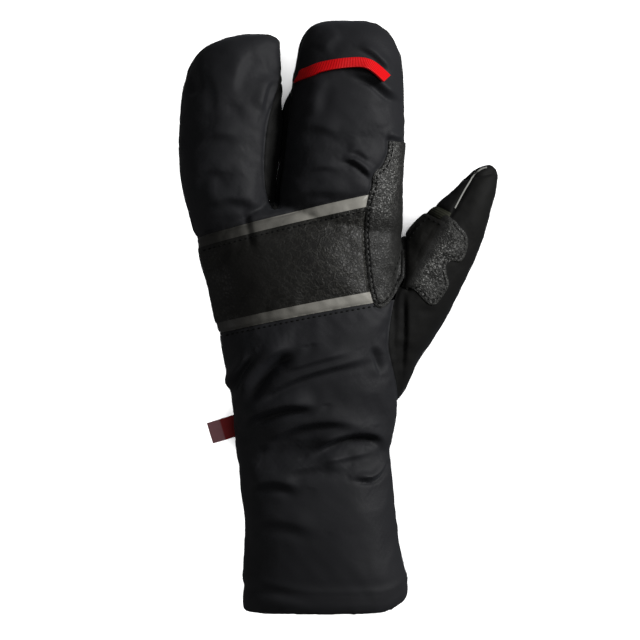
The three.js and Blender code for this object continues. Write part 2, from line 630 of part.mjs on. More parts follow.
// Each piece's solid, colour and roughness.
const cloth = { color: 0x17171a, roughness: 0.85 };
const lightCloth = { color: 0x121211, roughness: 0.8 };
const leather = { color: 0x2a2926, roughness: 0.6 };
const bandLeather = { color: 0x201f1c, roughness: 0.6 };
const tape = { color: 0x66665e, roughness: 0.45 };
const pieces = {
  finger_back: [backPanel(above(bandTop), pastTips), cloth],
  fourchette: [skin.intersect(fourchetteZone(0)), lightCloth],
  knuckle_band: [backPanel(above(bandFoot), below(bandTop)), bandLeather],
  reflective_strip_upper: [layer(stripThickness, stripZone(1 - stripShare, 1)), tape],
  reflective_strip_lower: [layer(stripThickness, stripZone(0, stripShare)), tape],
  gauntlet_back: [backPanel(above(hemLine), below(bandFoot)), cloth],
  gauntlet_palm: [
    skin
      .intersect(palmHalf)
      .intersect(between(above(hemLine), below(palmLine)))
      .subtract(thumbZone(seamGap)),
    cloth,
  ],
  cuff_hem: [skin.intersect(between(pastHem, below(hemLine))), cloth],
  palm: [skin.intersect(palmSide).subtract(thumbZone(seamGap)).subtract(fourchetteZone(seamGap)), leather],
  thumb_outer: [thumbOuter, lightCloth],
  thumb_crotch: [thumbCrotch, bandLeather],
  thumb_trim: [thumbTrim, { color: 0x3a3a30, roughness: 0.8 }],
  thumb_inner: [thumbInner, lightCloth],
  thumb_patch: [layer(patchThickness, patchZone), leather],
  thumb_piping: [layer(pipingThickness, pipingZone), { color: 0xb0b0ac, roughness: 0.4 }],
  pull_loop: [pullLoop(), { color: 0xc80a0f, roughness: 0.6 }],
  side_label: [sideLabel(), { color: 0x6e6468, roughness: 0.8 }],
};

const mitt = new THREE.Group();
for (const [name, [solid, finish]] of Object.entries(pieces)) {
  const mesh = new THREE.Mesh(geometryOf(panelOf(solid)), new THREE.MeshStandardMaterial(finish));
  mesh.name = name;
  mitt.add(mesh);
}

// The origin is at the middle of the mitt's footprint, on the floor.
const bounds = new THREE.Box3().setFromObject(mitt);
const middle = bounds.getCenter(new THREE.Vector3());
mitt.position.set(-middle.x, -middle.y, -bounds.min.z);

export default mitt;
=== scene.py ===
"""A padded winter mitt for the left hand with two finger stalls and a thumb, lying on its palm."""

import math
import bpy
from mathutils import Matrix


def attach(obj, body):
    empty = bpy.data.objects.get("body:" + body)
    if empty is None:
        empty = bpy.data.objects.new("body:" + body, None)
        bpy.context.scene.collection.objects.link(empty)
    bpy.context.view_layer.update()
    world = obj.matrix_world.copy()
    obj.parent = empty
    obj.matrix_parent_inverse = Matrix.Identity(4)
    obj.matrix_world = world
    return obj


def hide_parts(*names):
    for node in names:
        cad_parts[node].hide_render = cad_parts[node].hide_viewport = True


bl_info = {
    "name": "Lobster Claw Mitt",
    "version": (1, 0, 0),
    "blender": (4, 5, 0),
    "location": "3D View > Sidebar > Mitt",
    "description": "Sews the cloth, leather and trim of a padded winter mitt over its frame",
    "category": "Object",
}

from functools import cached_property

import bmesh
import bpy
import numpy as np
from bpy.props import FloatProperty, FloatVectorProperty, IntProperty, PointerProperty
from bpy.types import Operator, Panel, PropertyGroup
from mathutils import Matrix, Vector
from mathutils.bvhtree import BVHTree
from mathutils.kdtree import KDTree

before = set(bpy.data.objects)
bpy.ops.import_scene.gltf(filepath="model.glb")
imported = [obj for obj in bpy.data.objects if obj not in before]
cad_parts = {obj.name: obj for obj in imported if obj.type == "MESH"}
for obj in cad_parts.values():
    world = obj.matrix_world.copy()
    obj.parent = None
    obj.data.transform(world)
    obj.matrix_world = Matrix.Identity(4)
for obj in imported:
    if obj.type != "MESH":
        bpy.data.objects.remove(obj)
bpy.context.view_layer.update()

# The mitt is shaped with the middle of its hem at the origin. The frame's origin is the middle of its
# footprint, which lies here from the hem.
MIDDLE = Vector((0.008779, 0.1437, 0.0))

# A place on the back can be given as the camera sees it, by its column and row in a square frame.
FRAME_SIDE = 640
PIXEL = 0.000485
FRAME_CENTRE = (-0.0007, 0.1411)
CAMERA_HEIGHT = 1.753

# Tables of sections. Widths and depths name a size and give shares of it.
# up, width, little side, thumb side, depth, back, lift; up is 0 at the hem, 1 at the wrist and 2 at
# the foot of the slot between the stalls.
HAND_ROWS = (
    (0.0, "cuff_width", 0.472, 0.52, "cuff_depth", 0.975, -0.03),
    (0.07, "cuff_width", 0.476, 0.526, "cuff_depth", 1.01, -0.03),
    (0.13, "cuff_width", 0.472, 0.521, "cuff_depth", 0.99, -0.03),
    (0.22, "cuff_width", 0.475, 0.512, "cuff_depth", 1.0, -0.03),
    (0.32, "cuff_width", 0.475, 0.495, "cuff_depth", 1.0, -0.03),
    (0.45, "cuff_width", 0.475, 0.471, "cuff_depth", 1.0, -0.02),
    (0.6, "cuff_width", 0.476, 0.457, "cuff_depth", 0.99, -0.01),
    (0.74, "wrist_width", 0.524, 0.467, "cuff_depth", 0.97, 0.0),
    (0.87, "wrist_width", 0.54, 0.455, "wrist_depth", 1.01, 0.0),
    (0.97, "wrist_width", 0.555, 0.446, "wrist_depth", 1.0, -0.01),
    (1.05, "wrist_width", 0.563, 0.465, "wrist_depth", 1.03, -0.02),
    (1.13, "wrist_width", 0.573, 0.488, "wrist_depth", 1.08, -0.04),
    (1.24, "knuckle_width", 0.437, 0.371, "palm_depth", 0.96, -0.06),
    (1.37, "knuckle_width", 0.473, 0.373, "palm_depth", 0.99, -0.07),
    (1.5, "knuckle_width", 0.504, 0.373, "palm_depth", 1.0, -0.06),
    (1.63, "knuckle_width", 0.537, 0.373, "palm_depth", 0.99, -0.03),
    (1.76, "knuckle_width", 0.575, 0.374, "palm_depth", 0.97, 0.0),
    (1.87, "knuckle_width", 0.59, 0.371, "palm_depth", 0.92, 0.04),
    (1.94, "knuckle_width", 0.55, 0.345, "palm_depth", 0.84, 0.1),
    (1.985, "knuckle_width", 0.48, 0.28, "palm_depth", 0.7, 0.2),
)

# up, far side, near side, back, lift; up is the share of a stall's length above the slot's foot, and
# the sides are measured from the slot.
INDEX_ROWS = (
    (-0.34, 0.94, 0.08, 0.84, 0.2),
    (-0.18, 1.0, 0.02, 0.98, 0.1),
    (-0.03, 1.013, 0.0, 1.05, 0.02),
    (0.14, 1.0, 0.0, 1.05, -0.02),
    (0.34, 0.983, 0.0, 1.02, -0.04),
    (0.5, 0.974, 0.0, 0.98, -0.05),
    (0.61, 0.968, 0.045, 0.94, -0.05),
    (0.71, 0.96, 0.078, 0.9, -0.04),
    (0.8, 0.944, 0.106, 0.85, -0.02),
    (0.87, 0.903, 0.126, 0.79, 0.02),
    (0.925, 0.853, 0.162, 0.72, 0.08),
    (0.965, 0.79, 0.21, 0.64, 0.16),
    (0.99, 0.725, 0.285, 0.55, 0.26),
    (1.0, 0.66, 0.36, 0.48, 0.34),
)
RING_ROWS = (
    (-0.34, 0.7, 0.1, 0.82, 0.2),
    (-0.18, 0.81, 0.02, 0.96, 0.1),
    (-0.03, 0.874, 0.0, 1.05, 0.02),
    (0.14, 0.946, 0.0, 1.05, -0.02),
    (0.32, 0.994, 0.0, 1.02, -0.04),
    (0.48, 1.008, 0.0, 0.98, -0.05),
    (0.61, 0.998, 0.0, 0.93, -0.05),
    (0.71, 0.958, 0.0, 0.89, -0.04),
    (0.8, 0.906, 0.0, 0.84, -0.01),
    (0.87, 0.845, 0.0, 0.79, 0.03),
    (0.925, 0.75, 0.005, 0.73, 0.08),
    (0.965, 0.625, 0.02, 0.66, 0.15),
    (0.99, 0.48, 0.06, 0.58, 0.25),
    (1.0, 0.36, 0.12, 0.5, 0.33),
)

# up, towards the fingers, away from them, back, lift; up is the share of the thumb's length.
THUMB_ROWS = (
    (-0.46, 0.2, 0.45, 0.76, 0.17),
    (-0.36, 0.3, 0.49, 0.86, 0.1),
    (-0.24, 0.42, 0.5, 0.95, 0.04),
    (-0.1, 0.5, 0.472, 1.02, -0.02),
    (0.06, 0.53, 0.493, 1.03, -0.05),
    (0.22, 0.53, 0.495, 1.02, -0.05),
    (0.37, 0.52, 0.478, 1.0, -0.03),
    (0.48, 0.485, 0.456, 0.97, -0.01),
    (0.59, 0.412, 0.43, 0.93, 0.02),
    (0.69, 0.318, 0.381, 0.88, 0.05),
    (0.79, 0.228, 0.324, 0.82, 0.09),
    (0.87, 0.172, 0.268, 0.75, 0.13),
    (0.925, 0.115, 0.22, 0.68, 0.18),
    (0.965, 0.05, 0.175, 0.6, 0.25),
    (0.988, -0.015, 0.115, 0.52, 0.33),
)
HAND_SQUARENESS = 2.4
STALL_SQUARENESS = 2.3
THUMB_SQUARENESS = 2.2

# Outlines on the back: across in knuckle widths from the middle, up in palm lengths above the wrist.
WRAP_ROWS = (
    (0.5, 1.227),
    (0.319, 1.227),
    (0.315, 1.18),
    (0.29, 1.13),
    (0.247, 1.095),
    (0.238, 1.045),
    (0.215, 0.98),
    (0.202, 0.87),
    (0.207, 0.77),
    (0.222, 0.66),
    (0.243, 0.588),
    (0.265, 0.56),
    (0.293, 0.561),
    (0.33, 0.59),
    (0.363, 0.635),
    (0.394, 0.685),
    (0.5, 0.685),
)
GUSSET_ROWS = (
    (0.5, 0.1),
    (0.37, 0.12),
    (0.36, 0.24),
    (0.333, 0.34),
    (0.319, 0.41),
    (0.328, 0.5),
    (0.345, 0.58),
    (0.363, 0.635),
    (0.394, 0.685),
    (0.394, 1.0),
    (0.6, 1.8),
    (1.2, 1.8),
    (1.2, 0.1),
)

# The gusset between the stalls: up in ring stall lengths, then how far it reaches over each stall.
FOURCHETTE_ROWS = (
    (-0.055, 0.02, 0.015),
    (0.07, 0.085, 0.03),
    (0.26, 0.125, 0.035),
    (0.44, 0.125, 0.035),
    (0.58, 0.075, 0.05),
    (0.7, 0.02, 0.062),
    (0.84, 0.004, 0.085),
    (0.98, -0.005, 0.12),
)

# On the thumb: up in thumb lengths, across in thumb widths away from the fingers.
PATCH_ROWS = (
    (0.6, -0.2),
    (0.634, -0.06),
    (0.62, 0.05),
    (0.6, 0.19),
    (0.56, 0.27),
    (0.5, 0.31),
    (0.46, 0.29),
    (0.445, 0.2),
    (0.41, 0.155),
    (0.365, 0.23),
    (0.33, 0.31),
    (0.27, 0.32),
    (0.2, 0.28),
    (0.19, 0.17),
    (0.215, -0.01),
    (0.25, -0.2),
)
PIPING_ROWS = (
    (0.69, -0.106),
    (0.755, -0.109),
    (0.812, -0.109),
    (0.895, -0.092),
    (0.94, -0.05),
    (0.962, 0.0),
)
THUMB_TOP_SEAM = -0.11
CROTCH_START = 0.2
CROTCH_END = 0.6
TRIM_END = 0.66

# The pull loop's middle line as the camera sees it, and how much of its slack it has there.
LOOP_ROWS = (
    (297.2, 76.6, 0.0),
    (302, 73.6, 0.1),
    (310, 70.8, 0.25),
    (320, 67.2, 0.35),
    (334, 64.4, 0.45),
    (348, 62.8, 0.6),
    (360, 62.6, 0.8),
    (369, 64.8, 1.0),
    (377, 70.3, 1.0),
    (386.2, 78.6, 0.7),
)

# Folds on the back: width and rise in millimetres, how deep the valley below the crest is for its rise,
# then the crest's line from left to right as the camera sees it.
FOLDS = (
    (7.5, 3.0, 2.0, ((238, 401), (249, 378), (262, 361), (280, 349), (298, 346))),
    (4.4, 2.0, 1.7, ((229, 392), (237, 374), (246, 359), (256, 350))),
    (4.6, 1.4, 0.9, ((247, 412), (263, 396), (293, 378), (330, 366), (374, 356))),
    (4.0, 1.0, 1.0, ((280, 371), (306, 362), (352, 350))),
    (5.5, 2.4, 1.5, ((242, 424), (258, 413), (286, 404), (318, 404))),
    (6.0, 1.7, 0.9, ((262, 458), (270, 441), (284, 430), (304, 422), (332, 419), (366, 424))),
    (5.5, 2.3, 1.7, ((309, 452), (328, 439), (352, 432), (376, 434), (390, 446))),
    (4.0, 1.0, 0.3, ((314, 463), (340, 459), (372, 452))),
    (3.0, 1.3, 1.4, ((352, 477), (372, 478), (383, 468), (388, 452))),
    (6.0, 1.0, 0.9, ((276, 474), (310, 466), (354, 464))),
    (6.0, 1.4, 1.2, ((247, 488), (272, 481), (302, 487))),
    (7.0, 0.8, 1.0, ((245, 524), (280, 520), (318, 530))),
    (3.0, -1.5, 0.0, ((371, 347), (378, 362), (381, 376))),
    (4.0, 1.8, 0.8, ((352, 70), (372, 77), (388, 90), (402, 95))),
    (3.0, 1.1, 0.6, ((357, 44), (374, 52), (392, 70))),
    (2.8, 1.3, 1.1, ((340, 158), (354, 160), (366, 169), (374, 178))),
    (3.4, 0.8, 0.8, ((346, 151), (358, 150), (372, 160))),
    (3.0, 0.9, 0.7, ((386, 133), (404, 137))),
    (4.0, 1.3, 0.7, ((259, 112), (263, 88), (272, 72))),
    (4.0, 1.0, 0.8, ((272, 110), (277, 88), (279, 66))),
    (5.0, -1.4, 0.0, ((187, 66), (191, 96))),
    (6.0, 0.9, 0.6, ((198, 205), (230, 196), (264, 204))),
    (6.0, 1.0, 0.7, ((284, 196), (312, 190), (350, 192))),
    (7.0, 0.9, 0.5, ((312, 118), (318, 90), (330, 76))),
    (7.0, 0.8, 0.5, ((230, 96), (236, 66), (250, 44))),
    (7.0, 0.8, 0.5, ((322, 52), (330, 38), (342, 30))),
    (4.4, 0.6, 1.5, ((250, 208), (255, 229), (260, 250))),
    (6.0, 0.8, 0.7, ((192, 138), (214, 132), (240, 134))),
    (6.0, 0.8, 0.6, ((188, 178), (208, 168), (232, 172))),
    (6.0, 0.5, 0.5, ((212, 70), (219, 92), (218, 118))),
    (5.0, 0.6, 0.8, ((296, 128), (316, 124), (340, 132))),
    (4.0, 0.7, 0.9, ((292, 176), (318, 166), (342, 168))),
    (2.6, -1.0, 0.0, ((403, 386), (405.5, 345), (405.5, 305), (404, 286))),
)

# The space between two rings of a tube, before the tubes are joined.
RING_SPACING = 0.0015

# How far leather, tape and the thumb's patch stand over the cloth.
LEATHER_RISE = 0.00055
TAPE_RISE = 0.00024
PATCH_RISE = 0.0007

# The padding's cloth simulation: the squares of its coarse skin, how much smaller it starts, how many
# frames it runs, how far it may swell, and its settings.
COARSE_FINENESS = 0.0036
COARSE_MARGIN = -0.001
CLOTH_FRAMES = 20
SWELL_LIMIT = 0.0013
CLOTH_SETTINGS = {
    "quality": 5,
    "mass": 0.3,
    "tension_stiffness": 12.0,
    "compression_stiffness": 12.0,
    "bending_stiffness": 0.4,
    "vertex_group_mass": "sewn",
    "shrink_min": -0.05,
    "use_pressure": True,
    "uniform_pressure_force": 4.0,
}

# Stitches lie this far inside the edge of the leather or strip that they hold.
STITCH_INSET = 0.0019
PATCH_STITCH_INSET = 0.0016


def length(name, description, default):
    """A length that a user would change."""
    return FloatProperty(name=name, description=description, default=default, unit="LENGTH")


def angle(name, description, degrees):
    """An angle that a user would change."""
    return FloatProperty(
        name=name, description=description, default=math.radians(degrees), unit="ROTATION"
    )


def colour(name, description, *default):
    """A colour that a user would change."""
    return FloatVectorProperty(
        name=name, description=description, default=default, subtype="COLOR", min=0.0, max=1.0
    )


class MittSizes(PropertyGroup):
    """The sizes of the mitt's parts"""

    gauntlet_length: length("Gauntlet Length", "Hem to wrist", 0.08)
    palm_length: length("Palm Length", "Wrist to the foot of the slot between the stalls", 0.12)
    index_length: length("Index Length", "Slot foot to the tip of the index and middle stall", 0.0874)
    ring_length: length("Ring Length", "Slot foot to the tip of the ring and little stall", 0.0805)
    cuff_width: length("Cuff Width", "Across the hem", 0.0795)
    wrist_width: length("Wrist Width", "Across the wrist", 0.075)
    knuckle_width: length("Knuckle Width", "Across the knuckles", 0.102)
    index_width: length("Index Width", "Across the index and middle stall", 0.06)
    ring_width: length("Ring Width", "Across the ring and little stall", 0.0485)
    slot_gap: length("Slot Gap", "Between the stalls before they press together", 0.0022)
    slot_offset: length("Slot Offset", "From the middle to the slot's foot", 0.0225)
    slot_lean: length("Slot Lean", "How far the slot leans towards the thumb", 0.0034)
    cuff_depth: length("Cuff Depth", "Floor to back at the hem", 0.046)
    wrist_depth: length("Wrist Depth", "Floor to back at the wrist", 0.043)
    palm_depth: length("Palm Depth", "Floor to back at the knuckles", 0.05)
    index_depth: length("Index Depth", "Depth of the index and middle stall", 0.044)
    ring_depth: length("Ring Depth", "Depth of the ring and little stall", 0.042)
    thumb_length: length("Thumb Length", "Root to tip", 0.093)
    thumb_width: length("Thumb Width", "Across the thumb", 0.038)
    thumb_depth: length("Thumb Depth", "Depth of the thumb", 0.035)
    thumb_angle: angle("Thumb Angle", "Away from the fingers", 29.6)
    thumb_root_offset: length("Thumb Root Offset", "From the middle to the thumb's root", 0.0364)
    thumb_root_distance: length("Thumb Root Distance", "Above the wrist", 0.0575)
    wall: length("Wall", "Cloth, wadding and lining together", 0.003)
    seam_gap: length("Seam Gap", "Between two panels", 0.00014)
    seam_height: length("Seam Height", "Floor to the seam round the hand's side", 0.019)
    thumb_seam_height: length("Thumb Seam Height", "Floor to the seam round the thumb", 0.011)
    palm_seam_distance: length("Palm Seam Distance", "Wrist to the palm leather's edge", 0.012)
    hem_width: length("Hem Width", "The turned hem", 0.009)
    hem_rise: length("Hem Rise", "How much the hem rises at the thumb's side", 0.006)
    hem_lean: length("Hem Lean", "How much wider the hem is at the little finger's side", 0.006)
    band_height: length("Band Height", "Across both reflective strips", 0.0515)
    band_distance: length("Band Distance", "Wrist to the middle of the band", 0.0896)
    band_top_tilt: angle("Band Top Tilt", "Slant of the band's upper edge", 13.0)
    band_foot_tilt: angle("Band Foot Tilt", "Slant of the band's lower edge", 10.6)
    band_bow: length("Band Bow", "How far the band's edges bow up", 0.001)
    strip_width: length("Strip Width", "Each reflective strip", 0.0056)
    loop_width: length("Loop Width", "The pull loop's ribbon", 0.0047)
    loop_slack: length("Loop Slack", "How high the pull loop stands off", 0.0024)
    label_length: length("Label Length", "How far the side label sticks out", 0.0125)
    label_width: length("Label Width", "Along the seam", 0.0105)
    label_distance: length("Label Distance", "Wrist to the label's middle", 0.0095)
    label_droop: angle("Label Droop", "Slant of the label", 17.0)
    stitch_length: length("Stitch Length", "One visible stitch", 0.0017)
    stitch_pitch: length("Stitch Pitch", "Between two stitches", 0.0026)
    stitch_width: length("Stitch Width", "Across the thread", 0.00095)
    fineness: length("Fineness", "The side of one square of the outer skin", 0.0008)
    lining_fineness: length("Lining Fineness", "The side of one square of the lining", 0.0024)
    fold_strength: FloatProperty(
        name="Fold Strength", description="How deep the folds are", default=1.5, min=0.0, max=3.0
    )
    sides: IntProperty(name="Sides", description="Sides of each tube before it is joined", default=96)


class MittFinishes(PropertyGroup):
    """The colours of the mitt's materials"""

    cloth: colour("Cloth", "Softshell of the back and gauntlet", 0.0165, 0.0168, 0.0188)
    stretch_cloth: colour("Stretch Cloth", "Thumb and gusset", 0.0062, 0.0062, 0.0058)
    palm_leather: colour("Palm Leather", "Palm, wrap and thumb patch", 0.017, 0.017, 0.016)
    band_leather: colour("Band Leather", "Knuckle band and thumb crotch", 0.011, 0.0107, 0.0094)
    # The colour of the leather's light dots: partly its worn raised grain, partly painted glints of its
    # gloss.
    worn_and_glinting_leather: colour("Worn And Glinting Leather", "The raised grain of the leather", 0.24, 0.24, 0.23)
    tape: colour("Tape", "Reflective strips", 0.29, 0.28, 0.25)
    trim: colour("Trim", "Ribbed trim on the thumb", 0.026, 0.027, 0.019)
    piping: colour("Piping", "Piping over the thumb's tip", 0.33, 0.33, 0.31)
    loop: colour("Loop", "Ribbon of the pull loop", 0.72, 0.005, 0.008)
    label: colour("Label", "Outer half of the side label", 0.92, 0.42, 0.46)
    label_foot: colour("Label Foot", "Half of the side label next to the seam", 0.66, 0.06, 0.06)
    lining: colour("Lining", "Fleece inside", 0.02, 0.02, 0.021)
    thread: colour("Thread", "Stitches", 0.005, 0.005, 0.005)
    floor: colour("Floor", "The surface that the mitt lies on", 0.86, 0.86, 0.86)


def sizes():
    """The sizes that are set in the panel."""
    return bpy.context.scene.mitt_sizes


def finishes():
    """The colours that are set in the panel."""
    return bpy.context.scene.mitt_finishes


def smoothstep(values, low, high):
    """0 before low, 1 past high, and a smooth rise between them."""
    share = np.clip((np.asarray(values, float) - low) / (high - low), 0.0, 1.0)
    return share * share * (3.0 - 2.0 * share)


def bell(values, width):
    """1 at zero, falling off smoothly on both sides within about a width."""
    return np.exp(-((values / width) ** 2))


def seen(column, row, height=0.043):
    """The place of a point of the back as the camera sees it, from how high it lies."""
    nearer = (CAMERA_HEIGHT - height) / (CAMERA_HEIGHT - 0.022)
    x = FRAME_CENTRE[0] + (column - FRAME_SIDE / 2) * PIXEL * nearer
    return x, FRAME_CENTRE[1] + (FRAME_SIDE / 2 - row) * PIXEL * nearer


# Sections of the hand, the stalls and the thumb.


def column_at(ups, values, places):
    """A table's column at places between its rows, on a smooth curve through them."""
    ups, values, places = (np.asarray(v, float) for v in (ups, values, places))
    before = np.concatenate(([values[0]], values[:-1]))
    after = np.concatenate((values[1:], [values[-1]]))
    slopes = (after - before) / (np.append(ups[1:], ups[-1]) - np.insert(ups[:-1], 0, ups[0]))
    i = np.clip(np.searchsorted(ups, places) - 1, 0, len(ups) - 2)
    span = ups[i + 1] - ups[i]
    t = np.clip((places - ups[i]) / span, 0.0, 1.0)
    rest = 1.0 - t
    return (
        rest * rest * (1.0 + 2.0 * t) * values[i]
        + rest * rest * t * span * slopes[i]
        + t * t * (3.0 - 2.0 * t) * values[i + 1]
        - t * t * rest * span * slopes[i + 1]
    )


def section(u, w, x0, x1, z0, z1, squareness, grow):
    """Points of a padded tube's section: a superellipse, flattened on the floor."""
    share_u = np.sign(u) * np.abs(u) ** (2.0 / squareness)
    share_w = np.sign(w) * np.abs(w) ** (2.0 / squareness)
    x = (x0 + x1) / 2 + ((x1 - x0) / 2 + grow) * share_u
    z = (z0 + z1) / 2 + ((z1 - z0) / 2 + grow) * share_w
    return x, np.maximum(z, -grow)


def hand_place(up):
    """How far up the hand a row of its table lies."""
    s = sizes()
    return np.where(up <= 1.0, up * s.gauntlet_length, s.gauntlet_length + (up - 1.0) * s.palm_length)


def hem_rise_at(x):
    """How far the hem rises at a place across the hand."""
    s = sizes()
    thumb_side = np.clip((x / s.cuff_width - 0.27) / 0.25, 0.0, 1.1) ** 3.2
    little_side = np.clip((-x / s.cuff_width - 0.43) / 0.05, 0.0, 1.1) ** 2.0
    return s.hem_rise * (1.15 * thumb_side + 0.12 * little_side)


def slot_foot():
    """How far up the slot between the stalls starts."""
    return sizes().gauntlet_length + sizes().palm_length


def slot_at(y):
    """Where the slot lies across the hand."""
    s = sizes()
    return -s.slot_offset + s.slot_lean * smoothstep(y, slot_foot(), slot_foot() + 0.5 * s.ring_length)


def hand_column(number, up):
    """A column of the hand's table at places up the hand, in the sizes that its rows name."""
    size = 1 if number < 4 else 4
    values = [row[number] * getattr(sizes(), row[size]) for row in HAND_ROWS]
    return column_at([row[0] for row in HAND_ROWS], values, up)


def column(rows, number, up):
    """A column of a stall's or the thumb's table at places along it."""
    return column_at([row[0] for row in rows], [row[number] for row in rows], up)


def hand_points(up, u, w, grow):
    """The hand's skin from the hem to the slot's foot."""
    x0, x1 = -hand_column(2, up), hand_column(3, up)
    z0, z1 = hand_column(6, up), hand_column(5, up)
    x, z = section(u, w, x0, x1, z0, z1, HAND_SQUARENESS, grow)
    hem = hem_rise_at(x) * (1.0 - smoothstep(up, 0.0, 0.4))
    runs_out = np.where((up == 0.0) & (grow < 0.0), -0.004, 0.0)
    y = hand_place(up) + hem + runs_out + grow * smoothstep(up, 1.75, 2.0)
    return np.stack((x, y, z), axis=1)


def stall_points(stall, up, u, w, grow):
    """The skin of a finger stall."""
    s = sizes()
    rows, side = (INDEX_ROWS, 1) if stall == "index" else (RING_ROWS, -1)
    reach, width, depth = (getattr(s, f"{stall}_{kind}") for kind in ("length", "width", "depth"))
    slot = slot_at(slot_foot() + up * reach) + side * s.slot_gap / 2
    far = slot + side * width * column(rows, 1, up)
    near = slot + side * width * column(rows, 2, up)
    z0, z1 = depth * column(rows, 4, up), depth * column(rows, 3, up)
    x0, x1 = np.minimum(near, far), np.maximum(near, far)
    x, z = section(u, w, x0, x1, z0, z1, STALL_SQUARENESS, grow)
    y = slot_foot() + up * reach + grow * smoothstep(up, 0.75, 1.0)
    return np.stack((x, y, z), axis=1)


def thumb_place(up, across):
    """A place in the floor plane, from shares of the thumb's length and width."""
    s = sizes()
    sine, cosine = math.sin(s.thumb_angle), math.cos(s.thumb_angle)
    along, aside = np.asarray(up) * s.thumb_length, np.asarray(across) * s.thumb_width
    x = s.thumb_root_offset + sine * along + cosine * aside
    y = s.gauntlet_length + s.thumb_root_distance + cosine * along - sine * aside
    return x, y


def thumb_shares(points):
    """The shares of the thumb's length and width at each point: the reverse of thumb_place."""
    s = sizes()
    sine, cosine = math.sin(s.thumb_angle), math.cos(s.thumb_angle)
    dx = points[:, 0] - s.thumb_root_offset
    dy = points[:, 1] - s.gauntlet_length - s.thumb_root_distance
    return (sine * dx + cosine * dy) / s.thumb_length, (cosine * dx - sine * dy) / s.thumb_width


def thumb_points(up, u, w, grow):
    """The thumb's skin."""
    s = sizes()
    x0, x1 = (side * s.thumb_width * column(THUMB_ROWS, k, up) for side, k in ((-1, 1), (1, 2)))
    z0, z1 = (s.thumb_depth * column(THUMB_ROWS, k, up) for k in (4, 3))
    across, z = section(u, w, x0, x1, z0, z1, THUMB_SQUARENESS, grow)
    shift = grow * smoothstep(up, 0.75, 1.0) / s.thumb_length
    x, y = thumb_place(up + shift, across / s.thumb_width)
    return np.stack((x, y, z), axis=1)


# Meshes: their points as arrays, and what modifiers make of them.


def vectors(items, name):
    """One vector of each item, as an array."""
    values = np.empty(len(items) * 3, np.float32)
    items.foreach_get(name, values)
    return values.reshape(-1, 3).astype(float)


def points_of(mesh):
    """The mesh's points."""
    return vectors(mesh.vertices, "co")


def normals_of(mesh):
    """The direction that the skin faces at each point."""
    return vectors(mesh.vertex_normals, "vector")


def set_points(mesh, points):
    """Moves the mesh's points."""
    mesh.vertices.foreach_set("co", np.asarray(points, np.float32).ravel())
    mesh.update()


def mesh_of(bm, name):
    """The mesh that a bmesh holds. The bmesh is freed."""
    mesh = bpy.data.meshes.new(name)
    bm.to_mesh(mesh)
    bm.free()
    return mesh


def split_along(bm, axis, cuts):
    """Cuts the edges of a unit solid that run along an axis into equal lengths."""
    edges = [e for e in bm.edges if abs(e.verts[0].co[axis] - e.verts[1].co[axis]) > 0.5]
    bmesh.ops.subdivide_edges(bm, edges=edges, cuts=cuts)


def ringed_cylinder(sides, rows):
    """A closed unit cylinder with rows of faces along it."""
    bm = bmesh.new()
    bmesh.ops.create_cone(bm, cap_ends=True, segments=sides, radius1=1.0, radius2=1.0, depth=1.0)
    split_along(bm, 2, rows - 1)
    return bm


def modified(mesh, *changes):
    """A new mesh: the old one after a row of modifiers, each a kind and its settings."""
    body = bpy.data.objects.new("work", mesh)
    bpy.context.scene.collection.objects.link(body)
    for kind, settings in changes:
        modifier = body.modifiers.new(kind.lower(), kind)
        for name, value in settings.items():
            setattr(modifier, name, value)
    graph = bpy.context.evaluated_depsgraph_get()
    result = bpy.data.meshes.new_from_object(body.evaluated_get(graph))
    bpy.data.objects.remove(body)
    return result


def cut(mesh, *steps):
    """A new mesh: the old one joined with or cut by closed meshes, each after its operation."""
    tools = []
    changes = []
    for operation, tool in steps:
        tools.append(bpy.data.objects.new("tool", tool))
        bpy.context.scene.collection.objects.link(tools[-1])
        settings = {"operation": operation, "solver": "MANIFOLD", "object": tools[-1]}
        changes.append(("BOOLEAN", settings))
    result = modified(mesh, *changes)
    for tool in tools:
        bpy.data.objects.remove(tool)
    return result


def joined(*meshes):
    """One mesh of several, which may overlap."""
    bm = bmesh.new()
    for mesh in meshes:
        bm.from_mesh(mesh)
    return mesh_of(bm, "joined")


def moved(mesh, offsets):
    """A copy of the mesh with its points moved."""
    result = mesh.copy()
    set_points(result, points_of(mesh) + offsets)
    return result


def largest_body(mesh):
    """The mesh without the slivers that a cut leaves beside the panel."""
    count = len(mesh.vertices)
    edges = np.empty(len(mesh.edges) * 2, np.int32)
    mesh.edges.foreach_get("vertices", edges)
    edges = edges.reshape(-1, 2)
    label = np.arange(count)
    while True:
        lower = np.minimum(label[edges[:, 0]], label[edges[:, 1]])
        new = label.copy()
        np.minimum.at(new, edges[:, 0], lower)
        np.minimum.at(new, edges[:, 1], lower)
        new = new[new]
        if np.array_equal(new, label):
            break
        label = new
    kept = label == np.bincount(label).argmax()
    if kept.all():
        return mesh
    bm = bmesh.new()
    bm.from_mesh(mesh)
    bmesh.ops.delete(bm, geom=[v for v in bm.verts if not kept[v.index]], context="VERTS")
    bm.to_mesh(mesh)
    bm.free()
    return mesh


def panel(mesh, *steps):
    """What a row of cuts leaves of a mesh, without slivers."""
    return largest_body(cut(mesh, *steps))


def tube(rows, place, grow):
    """A closed tube: a cylinder whose rings are moved to their sections."""
    first, last = rows[0][0], rows[-1][0]
    ends = place(np.array((first, last)), np.zeros(2), np.zeros(2), 0.0)
    count = int(np.linalg.norm(ends[1] - ends[0]) / RING_SPACING)
    mesh = mesh_of(ringed_cylinder(sizes().sides, count), "tube")
    points = points_of(mesh)
    ring = np.rint((points[:, 2] + 0.5) * count)
    up = first + (last - first) * ring / count
    set_points(mesh, place(up, points[:, 0], -points[:, 1], grow))
    return mesh


